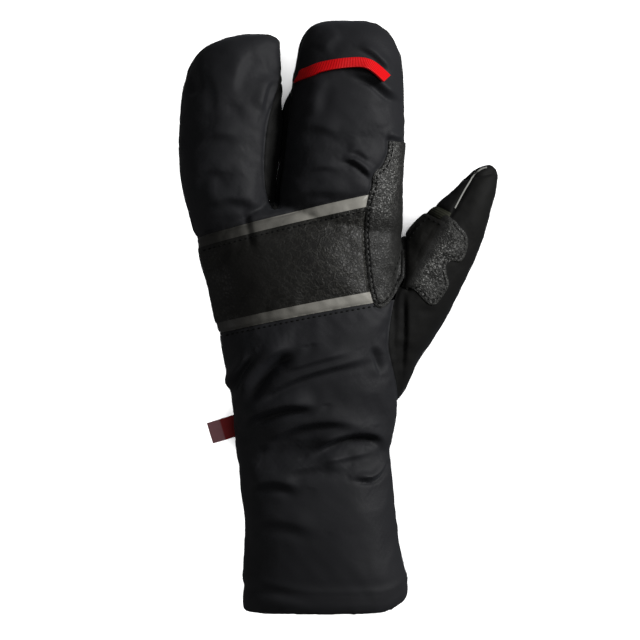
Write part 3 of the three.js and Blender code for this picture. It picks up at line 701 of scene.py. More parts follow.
def whole_form(grow, fineness, rounds):
    """The whole mitt as one closed form, grown by a margin, from squares that are smoothed in rounds."""
    return modified(
        joined(
            tube(HAND_ROWS, hand_points, grow),
            tube(INDEX_ROWS, lambda *args: stall_points("index", *args), grow),
            tube(RING_ROWS, lambda *args: stall_points("ring", *args), grow),
            tube(THUMB_ROWS, thumb_points, grow),
        ),
        ("REMESH", {"mode": "VOXEL", "voxel_size": fineness}),
        ("SMOOTH", {"factor": 0.5, "iterations": rounds}),
    )


# Lines and zones that the seams follow.


def path_distance(xy, path, closed=False):
    """How far each point is from a path, the direction away from it, and its share along it."""
    path = np.asarray(path, float)
    starts, ends = (path, np.roll(path, -1, axis=0)) if closed else (path[:-1], path[1:])
    lengths = np.linalg.norm(ends - starts, axis=1)
    total, before = lengths.sum(), 0.0
    distance = np.full(len(xy), np.inf)
    away = np.zeros((len(xy), 2))
    share = np.zeros(len(xy))
    for a, b, length in zip(starts, ends, lengths):
        t = np.clip((xy - a) @ (b - a) / length**2, 0.0, 1.0)
        off = xy - a - t[:, None] * (b - a)
        here = np.hypot(off[:, 0], off[:, 1])
        nearer = here < distance
        distance[nearer] = here[nearer]
        away[nearer] = off[nearer] / np.maximum(here[nearer], 1e-9)[:, None]
        share[nearer] = (before + t[nearer] * length) / total
        before += length
    return distance, away, share


def inside(xy, outline):
    """Which points lie inside an outline."""
    outline = np.asarray(outline, float)
    within = np.zeros(len(xy), bool)
    for a, b in zip(outline, np.roll(outline, -1, axis=0)):
        crosses = (a[1] > xy[:, 1]) != (b[1] > xy[:, 1])
        span = b[1] - a[1] if b[1] != a[1] else 1e-12
        at = a[0] + (xy[:, 1] - a[1]) * (b[0] - a[0]) / span
        within ^= crosses & (xy[:, 0] < at)
    return within


def hem_line(x):
    """The upper edge of the turned hem."""
    s = sizes()
    return s.hem_width + hem_rise_at(x) + s.hem_lean * smoothstep(-x / s.cuff_width, 0.0, 0.48)


def band_line(x, share):
    """A line across the knuckle band: share 0 is its lower edge and 1 its upper edge."""
    s = sizes()
    bow = s.band_bow * (1.0 - (2.0 * x / s.knuckle_width) ** 2)
    tilt = s.band_foot_tilt + (s.band_top_tilt - s.band_foot_tilt) * share
    middle = s.gauntlet_length + s.band_distance
    return middle + (share - 0.5) * s.band_height + math.tan(tilt) * x + bow


def palm_line(x):
    """The edge of the palm leather at the wrist."""
    return sizes().gauntlet_length + sizes().palm_seam_distance


def across_hand(line):
    """A line across the hand as a row of points."""
    xs = np.linspace(-1.0, 1.0, 17) * sizes().knuckle_width
    return [(float(x), float(line(x))) for x in xs]


def on_hand(rows):
    """Places on the back from a table's shares."""
    s = sizes()
    return [(row[0] * s.knuckle_width, s.gauntlet_length + row[1] * s.palm_length) for row in rows]


def on_thumb(rows):
    """Places on the thumb from a table's shares."""
    return [tuple(float(v) for v in thumb_place(*row)) for row in rows]


def fourchette_outline():
    """The outline of the gusset between the stalls."""
    s = sizes()
    places = []
    for side, column, width in ((1, 2, s.index_width), (-1, 1, s.ring_width)):
        half = []
        for row in FOURCHETTE_ROWS:
            y = slot_foot() + row[0] * s.ring_length
            half.append((float(slot_at(y)) + side * (0.0006 + row[column] * width), y))
        places += half if side > 0 else half[::-1]
    return places


def rounded(points, closed=True, steps=4):
    """A smooth line through places, so that a seam doesn't turn in corners."""
    points = np.asarray(points, float)
    count = len(points)
    result = []
    for i in range(count if closed else count - 1):
        at = [(i + k) % count if closed else min(max(i + k, 0), count - 1) for k in (-1, 0, 1, 2)]
        a, b, c, d = points[at]
        for t in np.arange(steps) / steps:
            curve = 2 * b + (c - a) * t + (2 * a - 5 * b + 4 * c - d) * t**2
            result.append(0.5 * (curve + (3 * b - a - 3 * c + d) * t**3))
    if not closed:
        result.append(points[-1])
    return [tuple(float(v) for v in p) for p in result]


def widened(points, margin):
    """An outline moved outwards by a margin."""
    points = [Vector(p) for p in points]
    area = sum(a.x * b.y - b.x * a.y for a, b in zip(points, points[1:] + points[:1]))
    outward = -math.copysign(1.0, area) * margin
    result = []
    for i, point in enumerate(points):
        into = (point - points[i - 1]).normalized()
        out = (points[(i + 1) % len(points)] - point).normalized()
        side = Vector((-into.y, into.x))
        middle = Vector((-into.y - out.y, into.x + out.x)).normalized()
        result.append(point + middle * (outward / max(middle.dot(side), 0.5)))
    return result


def prism(points, margin=0.0, low=-0.1, high=0.1):
    """An upright cutter from an outline in the floor plane."""
    bm = bmesh.new()
    corners = [bm.verts.new((p[0], p[1], low)) for p in widened(points, margin)]
    bm.faces.new(corners)
    raised = bmesh.ops.extrude_face_region(bm, geom=bm.faces[:])
    top = [v for v in raised["geom"] if isinstance(v, bmesh.types.BMVert)]
    bmesh.ops.translate(bm, verts=top, vec=(0.0, 0.0, high - low))
    bmesh.ops.triangulate(bm, faces=bm.faces[:])
    bmesh.ops.recalc_face_normals(bm, faces=bm.faces[:])
    return mesh_of(bm, "prism")


def between(low_line, high_line):
    """The space between two lines that run across the hand."""
    return prism(across_hand(low_line) + across_hand(high_line)[::-1])


def wrap_outline():
    """The outline of the leather that wraps from the palm onto the back."""
    places = on_hand(WRAP_ROWS)
    return [places[0]] + rounded(places[1:-1], closed=False) + [places[-1]]


def gusset_outline():
    """The outline of the thumb's panels."""
    places = on_hand(GUSSET_ROWS)
    return [places[0]] + rounded(places[1:10], closed=False) + places[10:]


def patch_outline():
    """The outline of the leather patch on the thumb."""
    return rounded(on_thumb(PATCH_ROWS))


def seam_distance(points, normals):
    """How far each point of the skin is, over the surface, from the nearest seam."""
    s = sizes()
    xy, z = points[:, :2], points[:, 2]
    nearest = np.full(len(points), 1.0)

    def sewn(distance, away, where):
        slope = np.sqrt(np.maximum(1.0 - np.sum(away * normals, axis=1) ** 2, 0.06))
        nearest[where] = np.minimum(nearest[where], (distance / slope)[where])

    def sewn_path(path, where, closed=False, ease=0.0):
        distance, away, _ = path_distance(xy, path, closed)
        sewn(distance + ease, np.column_stack((away, np.zeros(len(xy)))), where)

    upright = np.tile((0.0, 0.0, 1.0), (len(points), 1))
    in_wrap = inside(xy, wrap_outline())
    in_thumb = inside(xy, gusset_outline())
    in_gusset = inside(xy, fourchette_outline())
    back = z > s.seam_height - 0.003
    past_hem = points[:, 1] > hem_line(xy[:, 0])
    sewn(np.abs(z - s.seam_height), upright, past_hem & ~in_wrap & ~in_thumb & ~in_gusset)
    sewn(np.abs(z - s.thumb_seam_height), upright, in_thumb)
    sewn_path(across_hand(band_share(0.0)), back & ~in_wrap & ~in_thumb)
    sewn_path(across_hand(band_share(1.0)), back & ~in_wrap & ~in_gusset)
    sewn_path(across_hand(palm_line), (z < s.seam_height + 0.003) & ~in_thumb)
    sewn_path(wrap_outline()[1:-1], z > s.seam_height - s.wall)
    sewn_path(gusset_outline()[1:-3], z > s.thumb_seam_height)
    sewn_path(fourchette_outline(), np.ones(len(points), bool), closed=True)
    inner = in_thumb & (thumb_shares(points)[1] < 0.1) & (z > s.thumb_seam_height)
    open_top = in_thumb & (z > 0.02) & ~inside(xy, patch_outline())
    sewn_path(on_thumb(((CROTCH_START, THUMB_TOP_SEAM), (1.05, THUMB_TOP_SEAM))), open_top)
    for share in (CROTCH_START, CROTCH_END, TRIM_END):
        sewn_path(on_thumb(((share, THUMB_TOP_SEAM), (share, -1.0))), inner, ease=0.0007)
    return nearest


def ripples(points, wavelength, seed):
    """A smooth random rise and fall over the skin, between about -1 and 1."""
    random = np.random.default_rng(seed)
    total = np.zeros(len(points))
    for _ in range(14):
        direction = random.normal(size=3)
        direction /= np.linalg.norm(direction)
        wave = 2 * math.pi / wavelength * random.uniform(0.6, 1.5)
        total += np.sin(points @ direction * wave + random.uniform(0, 2 * math.pi))
    return total / 3.7


def fold_rise(points):
    """How far the folds lift the back at each place: a crest, steep below, with a valley beneath it."""
    xy = points[:, :2]
    rise = np.zeros(len(points))
    for width, height, valley, path in FOLDS:
        line = np.array(rounded([seen(*p) for p in path], closed=False))
        distance, away, share = path_distance(xy, line)
        turn = np.gradient(line, axis=0)[np.rint(share * (len(line) - 1)).astype(int)]
        side = np.sign(turn[:, 1] * away[:, 0] - turn[:, 0] * away[:, 1])
        off = 1000.0 * distance * side / width
        crest = bell(off, np.where(off > 0.0, 0.38, 0.9)) - valley * 0.5 * bell(off - 0.78, 0.37)
        ends = smoothstep(share, 0.0, 0.3) * smoothstep(share, 1.0, 0.7)
        rise += height * 0.001 * (0.12 + 0.88 * ends) * crest
    return rise * sizes().fold_strength


def press_stalls(points):
    """Moves the facing sides of the two stalls together, until they nearly touch along a wavy line."""
    s = sizes()
    off = points[:, 0] - slot_at(points[:, 1])
    side = np.sign(off)
    wave = 0.0006 * np.sin(points[:, 2] / 0.0032)
    wall = s.slot_gap / 2 - side * wave
    off = side * (off - wave)
    along = smoothstep(points[:, 1], slot_foot() - 0.006, slot_foot() + 0.0015)
    shift = (wall - 0.00012) * smoothstep(off, 0.007, wall) * along
    points[:, 0] -= side * np.minimum(shift, np.maximum(off - 0.0001, 0.0))
    return points


# What the operators hand on to each other: forms that panels are cut from, materials by their slot, and
# the finished pieces.
FORMS = {}
MATERIALS = {}
PIECES = []


def hem_offset(points):
    """How far the turned hem stands out, with the crease along its upper edge."""
    off = points[:, 1] - hem_line(points[:, 0])
    thicker = 0.0002 * smoothstep(off, 0.0005, -0.0025)
    return thicker + 0.0006 * bell(off - 0.0012, 0.0026) - 0.0005 * bell(off + 0.003, 0.0024)


def swelling(points):
    """How far the padding pushes the cloth out between its seams, from a cloth simulation."""
    coarse = whole_form(COARSE_MARGIN, COARSE_FINENESS, 4)
    rest, facing = points_of(coarse), normals_of(coarse)
    held = np.maximum(bell(seam_distance(rest, facing), 0.0035), smoothstep(rest[:, 2], 0.004, 0.0015))
    scene = bpy.context.scene
    body = bpy.data.objects.new("padding", coarse)
    scene.collection.objects.link(body)
    sewn = body.vertex_groups.new(name="sewn")
    for index, weight in enumerate(held):
        sewn.add([index], float(weight), "REPLACE")
    cloth = body.modifiers.new("cloth", "CLOTH")
    cloth.collision_settings.use_collision = False
    cloth.point_cache.frame_start = 1
    cloth.point_cache.frame_end = CLOTH_FRAMES
    for name, value in CLOTH_SETTINGS.items():
        setattr(cloth.settings, name, value)
    cloth.settings.effector_weights.gravity = 0.0
    for step in range(CLOTH_FRAMES):
        scene.frame_set(step + 1)
    graph = bpy.context.evaluated_depsgraph_get()
    swollen = bpy.data.meshes.new_from_object(body.evaluated_get(graph))
    out = np.sum((points_of(swollen) - rest) * facing, axis=1)
    bpy.data.objects.remove(body)
    scene.frame_set(1)
    tree = KDTree(len(rest))
    for index, place in enumerate(rest):
        tree.insert(place, index)
    tree.balance()
    result = np.empty(len(points))
    for i, place in enumerate(points):
        near = tree.find_n(place, 4)
        weights = [1.0 / (distance + 0.0004) ** 2 for _, _, distance in near]
        result[i] = sum(w * out[index] for w, (_, index, _) in zip(weights, near)) / sum(weights)
    return result


def skin_offsets(points, normals):
    """How far padding, seams and folds move the skin out, and how far the nearest seam is."""
    seam = seam_distance(points, normals)
    padding = 0.0008 * (1.0 - np.exp(-seam / 0.006)) - 0.0006
    swell = SWELL_LIMIT * np.tanh(swelling(points) / 0.003) * smoothstep(seam, 0.0, 0.004)
    padding += swell * (0.3 + 0.7 * np.abs(normals[:, 2]))
    groove = -0.0008 * bell(seam, 0.0011)
    pucker = 0.00018 * np.exp(-seam / 0.005) * ripples(points, 0.0065, 3)
    soft = 0.00018 * ripples(points, 0.034, 5) + 0.00006 * ripples(points, 0.009, 8)
    quiet = smoothstep(points[:, 1], 0.0, 0.012)
    folds = smoothstep(normals[:, 2], -0.05, 0.45) * fold_rise(points)
    return padding + groove + (pucker + soft) * quiet + folds + hem_offset(points), seam


def build_forms():
    """Makes the outer skin, its raised copy for leather, and the hollow, and cuts the hollow out of both."""
    s = sizes()
    outer = whole_form(0.0, s.fineness, 6)
    points, normals = points_of(outer), normals_of(outer)
    offsets, seam = skin_offsets(points, normals)
    skin = press_stalls(points + normals * offsets[:, None])
    skin[:, 2] = np.maximum(skin[:, 2], 0.0)
    set_points(outer, skin)
    rise = LEATHER_RISE - 0.0003 * bell(seam, 0.0009)
    leather = skin + normals_of(outer) * rise[:, None]
    leather[:, 2] = np.maximum(leather[:, 2], 0.0)
    raised = outer.copy()
    set_points(raised, leather)

    hollow = whole_form(-s.wall, s.lining_fineness, 3)
    lining, facing_in = points_of(hollow), normals_of(hollow)
    rise = fold_rise(lining) * smoothstep(facing_in[:, 2], -0.05, 0.45)
    set_points(hollow, lining + facing_in * (np.minimum(rise, 0.0) - 0.0002)[:, None])
    hollow.materials.append(MATERIALS["lining"])

    FORMS["outer"] = outer
    FORMS["skin"] = cut(outer, ("DIFFERENCE", hollow))
    FORMS["leather"] = cut(raised, ("DIFFERENCE", hollow))
    FORMS["over_cloth"] = surface_tree(outer)
    FORMS["over_leather"] = surface_tree(raised)


def surface_tree(mesh):
    """The mesh's surface, ready to find where a line meets it."""
    bm = bmesh.new()
    bm.from_mesh(mesh)
    tree = BVHTree.FromBMesh(bm)
    bm.free()
    return tree


def level(low, high):
    """The space between two heights."""
    return prism(((-0.3, -0.3), (0.3, -0.3), (0.3, 0.5), (-0.3, 0.5)), low=low, high=high)


def back_half():
    """The space above the seam round the hand's side."""
    return level(sizes().seam_height + sizes().seam_gap / 2, 0.2)


def palm_half():
    """The space below that seam."""
    return level(-0.1, sizes().seam_height - sizes().seam_gap / 2)


def wrap_zone(margin):
    """The space of the leather that wraps onto the back."""
    return prism(wrap_outline(), margin, low=sizes().seam_height - sizes().wall)


def thumb_zone(margin):
    """The space of the thumb's panels."""
    return prism(gusset_outline(), margin, low=sizes().thumb_seam_height)


def fourchette_zone(margin):
    """The space of the gusset between the stalls."""
    return prism(rounded(fourchette_outline()), margin)


def shifted(line, offset):
    """A line across the hand, moved up it."""
    return lambda x: line(x) + offset


def lowest(x):
    """A line below the hem."""
    return -0.2


def highest(x):
    """A line past the stalls' tips."""
    return 0.4


def band_share(share):
    """A line across the knuckle band."""
    return lambda x: band_line(x, share)


def back_panel(low_line, high_line, skin="skin"):
    """A panel of the back between two lines."""
    gap = sizes().seam_gap
    return panel(
        FORMS[skin],
        ("INTERSECT", back_half()),
        ("INTERSECT", between(shifted(low_line, gap / 2), shifted(high_line, -gap / 2))),
        ("DIFFERENCE", wrap_zone(gap)),
        ("DIFFERENCE", thumb_zone(gap)),
        ("DIFFERENCE", fourchette_zone(gap)),
    )


def store(mesh, name, values):
    """Keeps a number for each point, for a material to read."""
    attribute = mesh.attributes.new(name, "FLOAT", "POINT")
    attribute.data.foreach_set("value", np.asarray(values, np.float32))


def wear_and_highlight_at(points):
    """How worn the leather is, with painted light mixed in: most on the wrap's upper half, the thumb and the
    band's thumb side. The band's lighter thumb side and the thumb patch's bright middle are painted
    highlights, the patch's darker side towards the crotch is painted shade.
    """
    s = sizes()
    xy = points[:, :2]
    y = (xy[:, 1] - s.gauntlet_length) / s.palm_length
    # The wrap is marked most towards its upper end, where its light dots are painted glints.
    wrap = 0.3 + 0.5 * smoothstep(y, 0.84, 1.0) + 0.25 * smoothstep(y, 0.68, 0.6)
    # Painted light: the band grows lighter towards the thumb's side, where the light falls.
    band = 0.5 * smoothstep(xy[:, 0], -0.5 * s.knuckle_width, 0.24 * s.knuckle_width) ** 1.3
    on_top = points[:, 2] > s.seam_height
    edge = path_distance(xy, wrap_outline()[1:-1])[0]
    wrap *= 1.0 - 0.6 * smoothstep(edge, 0.008, 0.018)
    wrap *= 0.4 + 0.6 * smoothstep(points[:, 2], s.seam_height + 0.013, s.seam_height + 0.02)
    wear_and_highlight = np.where(inside(xy, wrap_outline()) & on_top, wrap, np.where(on_top, band, 0.3))
    up, across = thumb_shares(xy)
    # Painted sheen: the thumb patch is brightest in its middle.
    patch = 0.5 + 0.4 * np.exp(-(((up - 0.38) / 0.16) ** 2) - ((across - 0.05) / 0.16) ** 2)
    # Painted shade: the patch darkens towards the crotch.
    patch *= smoothstep(across, -0.18, 0.0)
    patch = np.where(inside(xy, patch_outline()), patch, 0.0)
    return np.where(inside(xy, gusset_outline()), patch, wear_and_highlight)


def finish_piece(name, mesh, part, slot, fill=None, sharp=50.0, material=None):
    """Makes a mesh a finished piece of the mitt that stands for a part of the frame."""
    if fill is not None:
        store(mesh, "seam", seam_distance(points_of(mesh), normals_of(mesh)))
    if slot.endswith("leather"):
        store(mesh, "wear_and_highlight", wear_and_highlight_at(points_of(mesh)))
    mesh.transform(Matrix.Translation(-MIDDLE))
    mesh.name = name
    lining = MATERIALS["lining"]
    before = list(mesh.materials)
    lined = np.zeros(len(mesh.polygons), np.int32)
    if lining in before:
        mesh.polygons.foreach_get("material_index", lined)
        lined = (lined == before.index(lining)).astype(np.int32)
    mesh.materials.clear()
    mesh.materials.append(material or MATERIALS[slot])
    if lining in before:
        mesh.materials.append(lining)
    mesh.polygons.foreach_set("material_index", lined)
    mesh.shade_smooth()
    mesh.set_sharp_from_angle(angle=math.radians(sharp))
    piece = bpy.data.objects.new(name, mesh)
    bpy.context.scene.collection.objects.link(piece)
    PIECES.append(piece)
    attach(piece, "root")
    if part:
        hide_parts(part)


# Materials.


class Nodes:
    """A shader tree under way, with short ways to add nodes to it."""

    def __init__(self, tree):
        self.tree = tree

    def join(self, value, socket):
        """Sets a socket, or joins another socket to it."""
        if isinstance(value, bpy.types.NodeSocket):
            self.tree.links.new(value, socket)
        else:
            socket.default_value = value

    def add(self, kind, **inputs):
        """A node with its sockets set or joined. A name in capitals sets the node itself."""
        made = self.tree.nodes.new("ShaderNode" + kind)
        for name, value in inputs.items():
            if name.isupper():
                setattr(made, name.lower(), value)
        for name, value in inputs.items():
            if not name.isupper():
                key = int(name[1:]) if name[1:].isdigit() else name.replace("_", " ")
                self.join(value, made.inputs[key])
        return made

    @cached_property
    def place(self):
        """The object's own coordinates."""
        return self.add("TexCoord").outputs["Object"]

    def attribute(self, name):
        """A number that is stored at the mesh's points."""
        return self.add("Attribute", ATTRIBUTE_NAME=name).outputs["Fac"]

    def maths(self, operation, first, second=0.0, clamp=False):
        """One sum on two values."""
        made = self.add("Math", OPERATION=operation, USE_CLAMP=clamp, _0=first, _1=second)
        return made.outputs[0]

    def noise(self, scale, detail, **more):
        """Smooth noise, at the object's own coordinates where no others are given."""
        inputs = {"Scale": scale, "Detail": detail, **more}
        inputs.setdefault("Vector", self.place)
        return self.add("TexNoise", **inputs).outputs[0]

    def ramp(self, value, low, high, first=0.0, last=1.0, **more):
        """A value's range from low to high, drawn out to the range from first to last."""
        inputs = {"From_Min": low, "From_Max": high, "To_Min": first, "To_Max": last, **more}
        return self.add("MapRange", Value=value, **inputs).outputs[0]

    def blend(self, first, second, factor):
        """A colour between two others."""
        mix = self.tree.nodes.new("ShaderNodeMix")
        mix.data_type = "RGBA"
        self.join(factor, mix.inputs[0])
        for value, socket in ((first, mix.inputs[6]), (second, mix.inputs[7])):
            self.join(value if isinstance(value, bpy.types.NodeSocket) else (*value[:3], 1.0), socket)
        return mix.outputs[2]

    def group(self, name, **inputs):
        """A shader group placed in the tree."""
        made = self.tree.nodes.new("ShaderNodeGroup")
        made.node_tree = bpy.data.node_groups[name]
        for label, value in inputs.items():
            self.join(value, made.inputs[label])
        return made.outputs

    def bump(self, shader, *layers):
        """Gives the shader a bump from several heights, each with its depth in metres."""
        normal = None
        for height, depth in layers:
            made = self.add("Bump", Height=height, Distance=depth, Strength=1.0)
            if normal is not None:
                self.join(normal, made.inputs["Normal"])
            normal = made.outputs[0]
        self.join(normal, shader["Normal"])


def shader_group(name, inputs, outputs):
    """An empty shader group: its tree, the values it gets and the sockets it puts out."""
    tree = bpy.data.node_groups.new(name, "ShaderNodeTree")
    for label, default in inputs.items():
        socket = tree.interface.new_socket(name=label, in_out="INPUT", socket_type="NodeSocketFloat")
        socket.default_value = default
    for label in outputs:
        tree.interface.new_socket(name=label, in_out="OUTPUT", socket_type="NodeSocketFloat")
    return Nodes(tree), tree.nodes.new("NodeGroupInput").outputs, tree.nodes.new("NodeGroupOutput").inputs


def make_weave_group():
    """Fine crossing threads. Thread is the space from one thread to the next, in metres."""
    n, given, out = shader_group("Fine Weave", {"Thread": 0.0005}, ("Height", "Shade"))
    parts = n.add("SeparateXYZ", Vector=n.place).outputs
    turns = n.maths("DIVIDE", 2 * math.pi, given["Thread"])
    slant = n.maths("ADD", parts["X"], n.maths("MULTIPLY", parts["Z"], 0.7))
    rise = n.maths("ADD", parts["Y"], n.maths("MULTIPLY", parts["Z"], 0.4))
    warp, weft = (n.maths("SINE", n.maths("MULTIPLY", way, turns)) for way in (slant, rise))
    height = n.maths("MULTIPLY", n.maths("MULTIPLY", warp, weft), 0.5)
    n.join(n.maths("ADD", height, 1.0), out["Height"])
    n.join(n.noise(2600.0, 2.0), out["Shade"])


def make_crease_group():
    """Small irregular creases of thin cloth or leather. Size is in metres."""
    n, given, out = shader_group("Creases", {"Size": 0.008}, ("Height", "Shade"))
    stretched = n.add("Mapping", Vector=n.place, Scale=(0.55, 1.0, 1.0)).outputs[0]
    scale = n.maths("DIVIDE", 1.0, given["Size"])
    fine = n.noise(scale, 5.0, Vector=stretched, Roughness=0.55, Distortion=0.6)
    folded = n.maths("ABSOLUTE", n.maths("SUBTRACT", fine, 0.5))
    n.join(n.maths("MULTIPLY", folded, 2.0), out["Height"])
    n.join(n.noise(45.0, 2.0), out["Shade"])


def make_pebble_group():
    """Pebbled, crackled leather: its height, its crackle, and light dots of its worn, raised grain, which
    also stand for painted glints of its gloss.
    """
    values = {"Size": 0.0015, "Wear": 0.5}
    n, given, out = shader_group("Pebble Grain", values, ("Height", "Specks_And_Glints", "Crackle"))
    scale = n.maths("DIVIDE", 1.0, given["Size"])
    bent = n.add("TexNoise", Vector=n.place, Scale=500.0, Detail=2.0).outputs["Color"]
    pull = n.add("VectorMath", OPERATION="SCALE", _0=bent, Scale=0.0014).outputs[0]
    where = n.add("VectorMath", OPERATION="ADD", _0=n.place, _1=pull).outputs[0]
    cells = n.add("TexVoronoi", FEATURE="DISTANCE_TO_EDGE", Vector=where, Scale=scale).outputs[0]
    pebble = n.ramp(cells, 0.0, 0.3, INTERPOLATION_TYPE="SMOOTHSTEP")
    fine = n.maths("MULTIPLY", n.noise(1300.0, 3.0), 0.3)
    n.join(n.maths("ADD", n.maths("MULTIPLY", pebble, 0.75), fine), out["Height"])
    wrinkle = n.noise(n.maths("MULTIPLY", scale, 0.45), 2.0, Vector=where)
    ridge = n.maths("ABSOLUTE", n.maths("SUBTRACT", wrinkle, 0.5))
    n.join(n.ramp(ridge, 0.0, 0.05, 1.0, 0.0), out["Crackle"])
    low = n.maths("SUBTRACT", 0.7, n.maths("MULTIPLY", given["Wear"], 0.17))
    patches = n.noise(1200.0, 2.0, Roughness=0.6)
    n.join(n.ramp(patches, low, n.maths("ADD", low, 0.07)), out["Specks_And_Glints"])


def start_material(name, **values):
    """A material with only its principled shader, whose own sockets are set: also its tree and sockets."""
    material = bpy.data.materials.new(name)
    material.use_nodes = True
    n = Nodes(material.node_tree)
    n.tree.nodes.clear()
    shader = n.add("BsdfPrincipled", **values)
    n.add("OutputMaterial", Surface=shader.outputs[0])
    return material, n, shader.inputs


def shaded(colour, factor):
    """A colour made lighter or darker."""
    return tuple(min(channel * factor, 1.0) for channel in colour[:3])


def grained_material(name, colour, darkest, lightest, noise, depth, **values):
    """One colour with a fine grain in its tone, which also stands up where it has a depth."""
    material, n, shader = start_material(name, **values)
    grain = n.noise(**noise)
    n.join(n.blend(shaded(colour, darkest), shaded(colour, lightest), grain), shader["Base Color"])
    if depth:
        n.bump(shader, (grain, depth))
    return material


def cloth_material(name, colour, thread, roughness, sheen):
    """Softshell: a fine weave with small creases and a soft sheen."""
    material, n, shader = start_material(
        name, Sheen_Weight=sheen, Sheen_Roughness=0.45, Sheen_Tint=(0.8, 0.85, 1.0, 1.0),
        Specular_IOR_Level=0.13,
    )
    weave = n.group("Fine Weave", Thread=thread)
    creases = n.group("Creases", Size=0.014)
    tone = n.blend(shaded(colour, 0.82), shaded(colour, 1.2), creases["Shade"])
    tone = n.blend(tone, shaded(colour, 1.5), n.maths("MULTIPLY", weave["Shade"], 0.25))
    n.join(tone, shader["Base Color"])
    rough = n.ramp(creases["Shade"], 0.0, 1.0, roughness - 0.05, roughness + 0.06)
    n.join(rough, shader["Roughness"])
    n.bump(shader, (creases["Height"], 0.00012), (weave["Height"], 0.00004))
    return material


def leather_material(name, colour, grain, roughness, relief, stitches=None):
    """Crackled leather, lighter where it is marked worn, which also holds painted highlights and glints,
    with painted shade in its pits, pulled down along its row of stitches.
    """
    material, n, shader = start_material(name, Specular_IOR_Level=0.25)
    wear_and_highlight = n.attribute("wear_and_highlight")
    pebble = n.group("Pebble Grain", Size=grain, Wear=wear_and_highlight)
    creases = n.group("Creases", Size=0.006)
    tone = n.blend(shaded(colour, 0.75), shaded(colour, 1.25), creases["Shade"])
    # Lighter where the leather is marked worn. This is partly real and partly painted light: the band's
    # lighter thumb side, where the light falls, and the thumb patch's bright middle are painted highlights.
    tone = n.blend(tone, shaded(colour, 2.6), n.maths("MINIMUM", wear_and_highlight, 0.5))
    # Painted shade: darker in the pits between the pebbles.
    tone = n.blend(shaded(colour, 0.6), tone, pebble["Height"])
    # Light crackle lines where the leather is marked worn, so brightest on the band's lit thumb side:
    # painted highlights on the crackle's ridges.
    crackle = n.maths("MULTIPLY", pebble["Crackle"], n.maths("MULTIPLY", wear_and_highlight, 0.9))
    tone = n.blend(tone, shaded(colour, 6.0), crackle)
    # Light dots on the raised grain where the leather is marked worn: partly worn grain, partly painted
    # glints of its gloss.
    specks_and_glints = n.maths("MULTIPLY", pebble["Specks_And_Glints"], n.ramp(wear_and_highlight, 0.3, 0.75))
    n.join(n.blend(tone, finishes().worn_and_glinting_leather, specks_and_glints), shader["Base Color"])
    rough = n.ramp(pebble["Height"], 0.0, 1.0, roughness + 0.15, roughness - 0.08)
    n.join(rough, shader["Roughness"])
    rough_part = n.maths("MULTIPLY", wear_and_highlight, 2.2, clamp=True)
    grained = n.maths("MULTIPLY", pebble["Height"], n.maths("MAXIMUM", rough_part, 0.3))
    crackled = n.maths("MULTIPLY", pebble["Crackle"], rough_part)
    layers = [(creases["Height"], 0.0003), (crackled, relief * 0.9), (grained, relief)]
    if stitches is not None:
        off = n.maths("DIVIDE", n.maths("SUBTRACT", n.attribute("seam"), stitches), 0.0005)
        dip = n.maths("EXPONENT", n.maths("MULTIPLY", n.maths("MULTIPLY", off, off), -1.0))
        layers.insert(0, (n.maths("SUBTRACT", 1.0, dip), 0.00035))
    n.bump(shader, *layers)
    return material


def tape_material(colour):
    """Reflective tape: fine glass beads, slightly scuffed, with painted shade that darkens it towards the
    little finger's side.
    """
    material, n, shader = start_material("Tape", Specular_IOR_Level=0.35)
    beads = n.noise(4000.0, 1.0)
    scuffs = n.noise(160.0, 4.0, Roughness=0.6)
    tone = n.blend(shaded(colour, 0.75), shaded(colour, 1.2), scuffs)
    tone = n.blend(tone, shaded(colour, 1.4), n.maths("MULTIPLY", beads, 0.3))
    # Painted shade: the tape darkens towards the little finger's side, away from the light.
    aside = n.add("SeparateXYZ", Vector=n.place).outputs["X"]
    painted_light_share = n.ramp(aside, -0.06, 0.004, INTERPOLATION_TYPE="SMOOTHSTEP")
    n.join(n.blend(shaded(colour, 0.1), tone, painted_light_share), shader["Base Color"])
    n.join(n.ramp(scuffs, 0.0, 1.0, 0.35, 0.55), shader["Roughness"])
    n.bump(shader, (scuffs, 0.0002), (beads, 0.00003))
    return material


def ribbed_material(name, colour, rib, roughness):
    """Ribbon or trim with ribs across it, a rib's width apart."""
    material, n, shader = start_material(name, Roughness=roughness, Specular_IOR_Level=0.16)
    wave = n.maths("SINE", n.maths("MULTIPLY", n.attribute("along"), 2 * math.pi / rib))
    ribs = n.maths("ADD", n.maths("MULTIPLY", wave, 0.5), 1.0)
    fibres = n.noise(3000.0, 2.0)
    tone = n.blend(shaded(colour, 0.6), shaded(colour, 1.12), ribs)
    tone = n.blend(tone, shaded(colour, 1.3), n.maths("MULTIPLY", fibres, 0.3))
    n.join(tone, shader["Base Color"])
    n.bump(shader, (ribs, 0.00012), (fibres, 0.00003))
    return material


def label_material(foot, end):
    """A woven label in two colours, one next to the seam and one at its end."""
    material, n, shader = start_material("Label", Roughness=0.6, Specular_IOR_Level=0.2)
    weave = n.group("Fine Weave", Thread=0.0004)
    tone = n.blend(foot, end, n.ramp(n.attribute("reach"), 0.54, 0.6))
    dark = n.blend(tone, (0.01, 0.01, 0.01), n.maths("MULTIPLY", weave["Height"], 0.25))
    n.join(dark, shader["Base Color"])
    n.bump(shader, (weave["Height"], 0.00008))
    return material


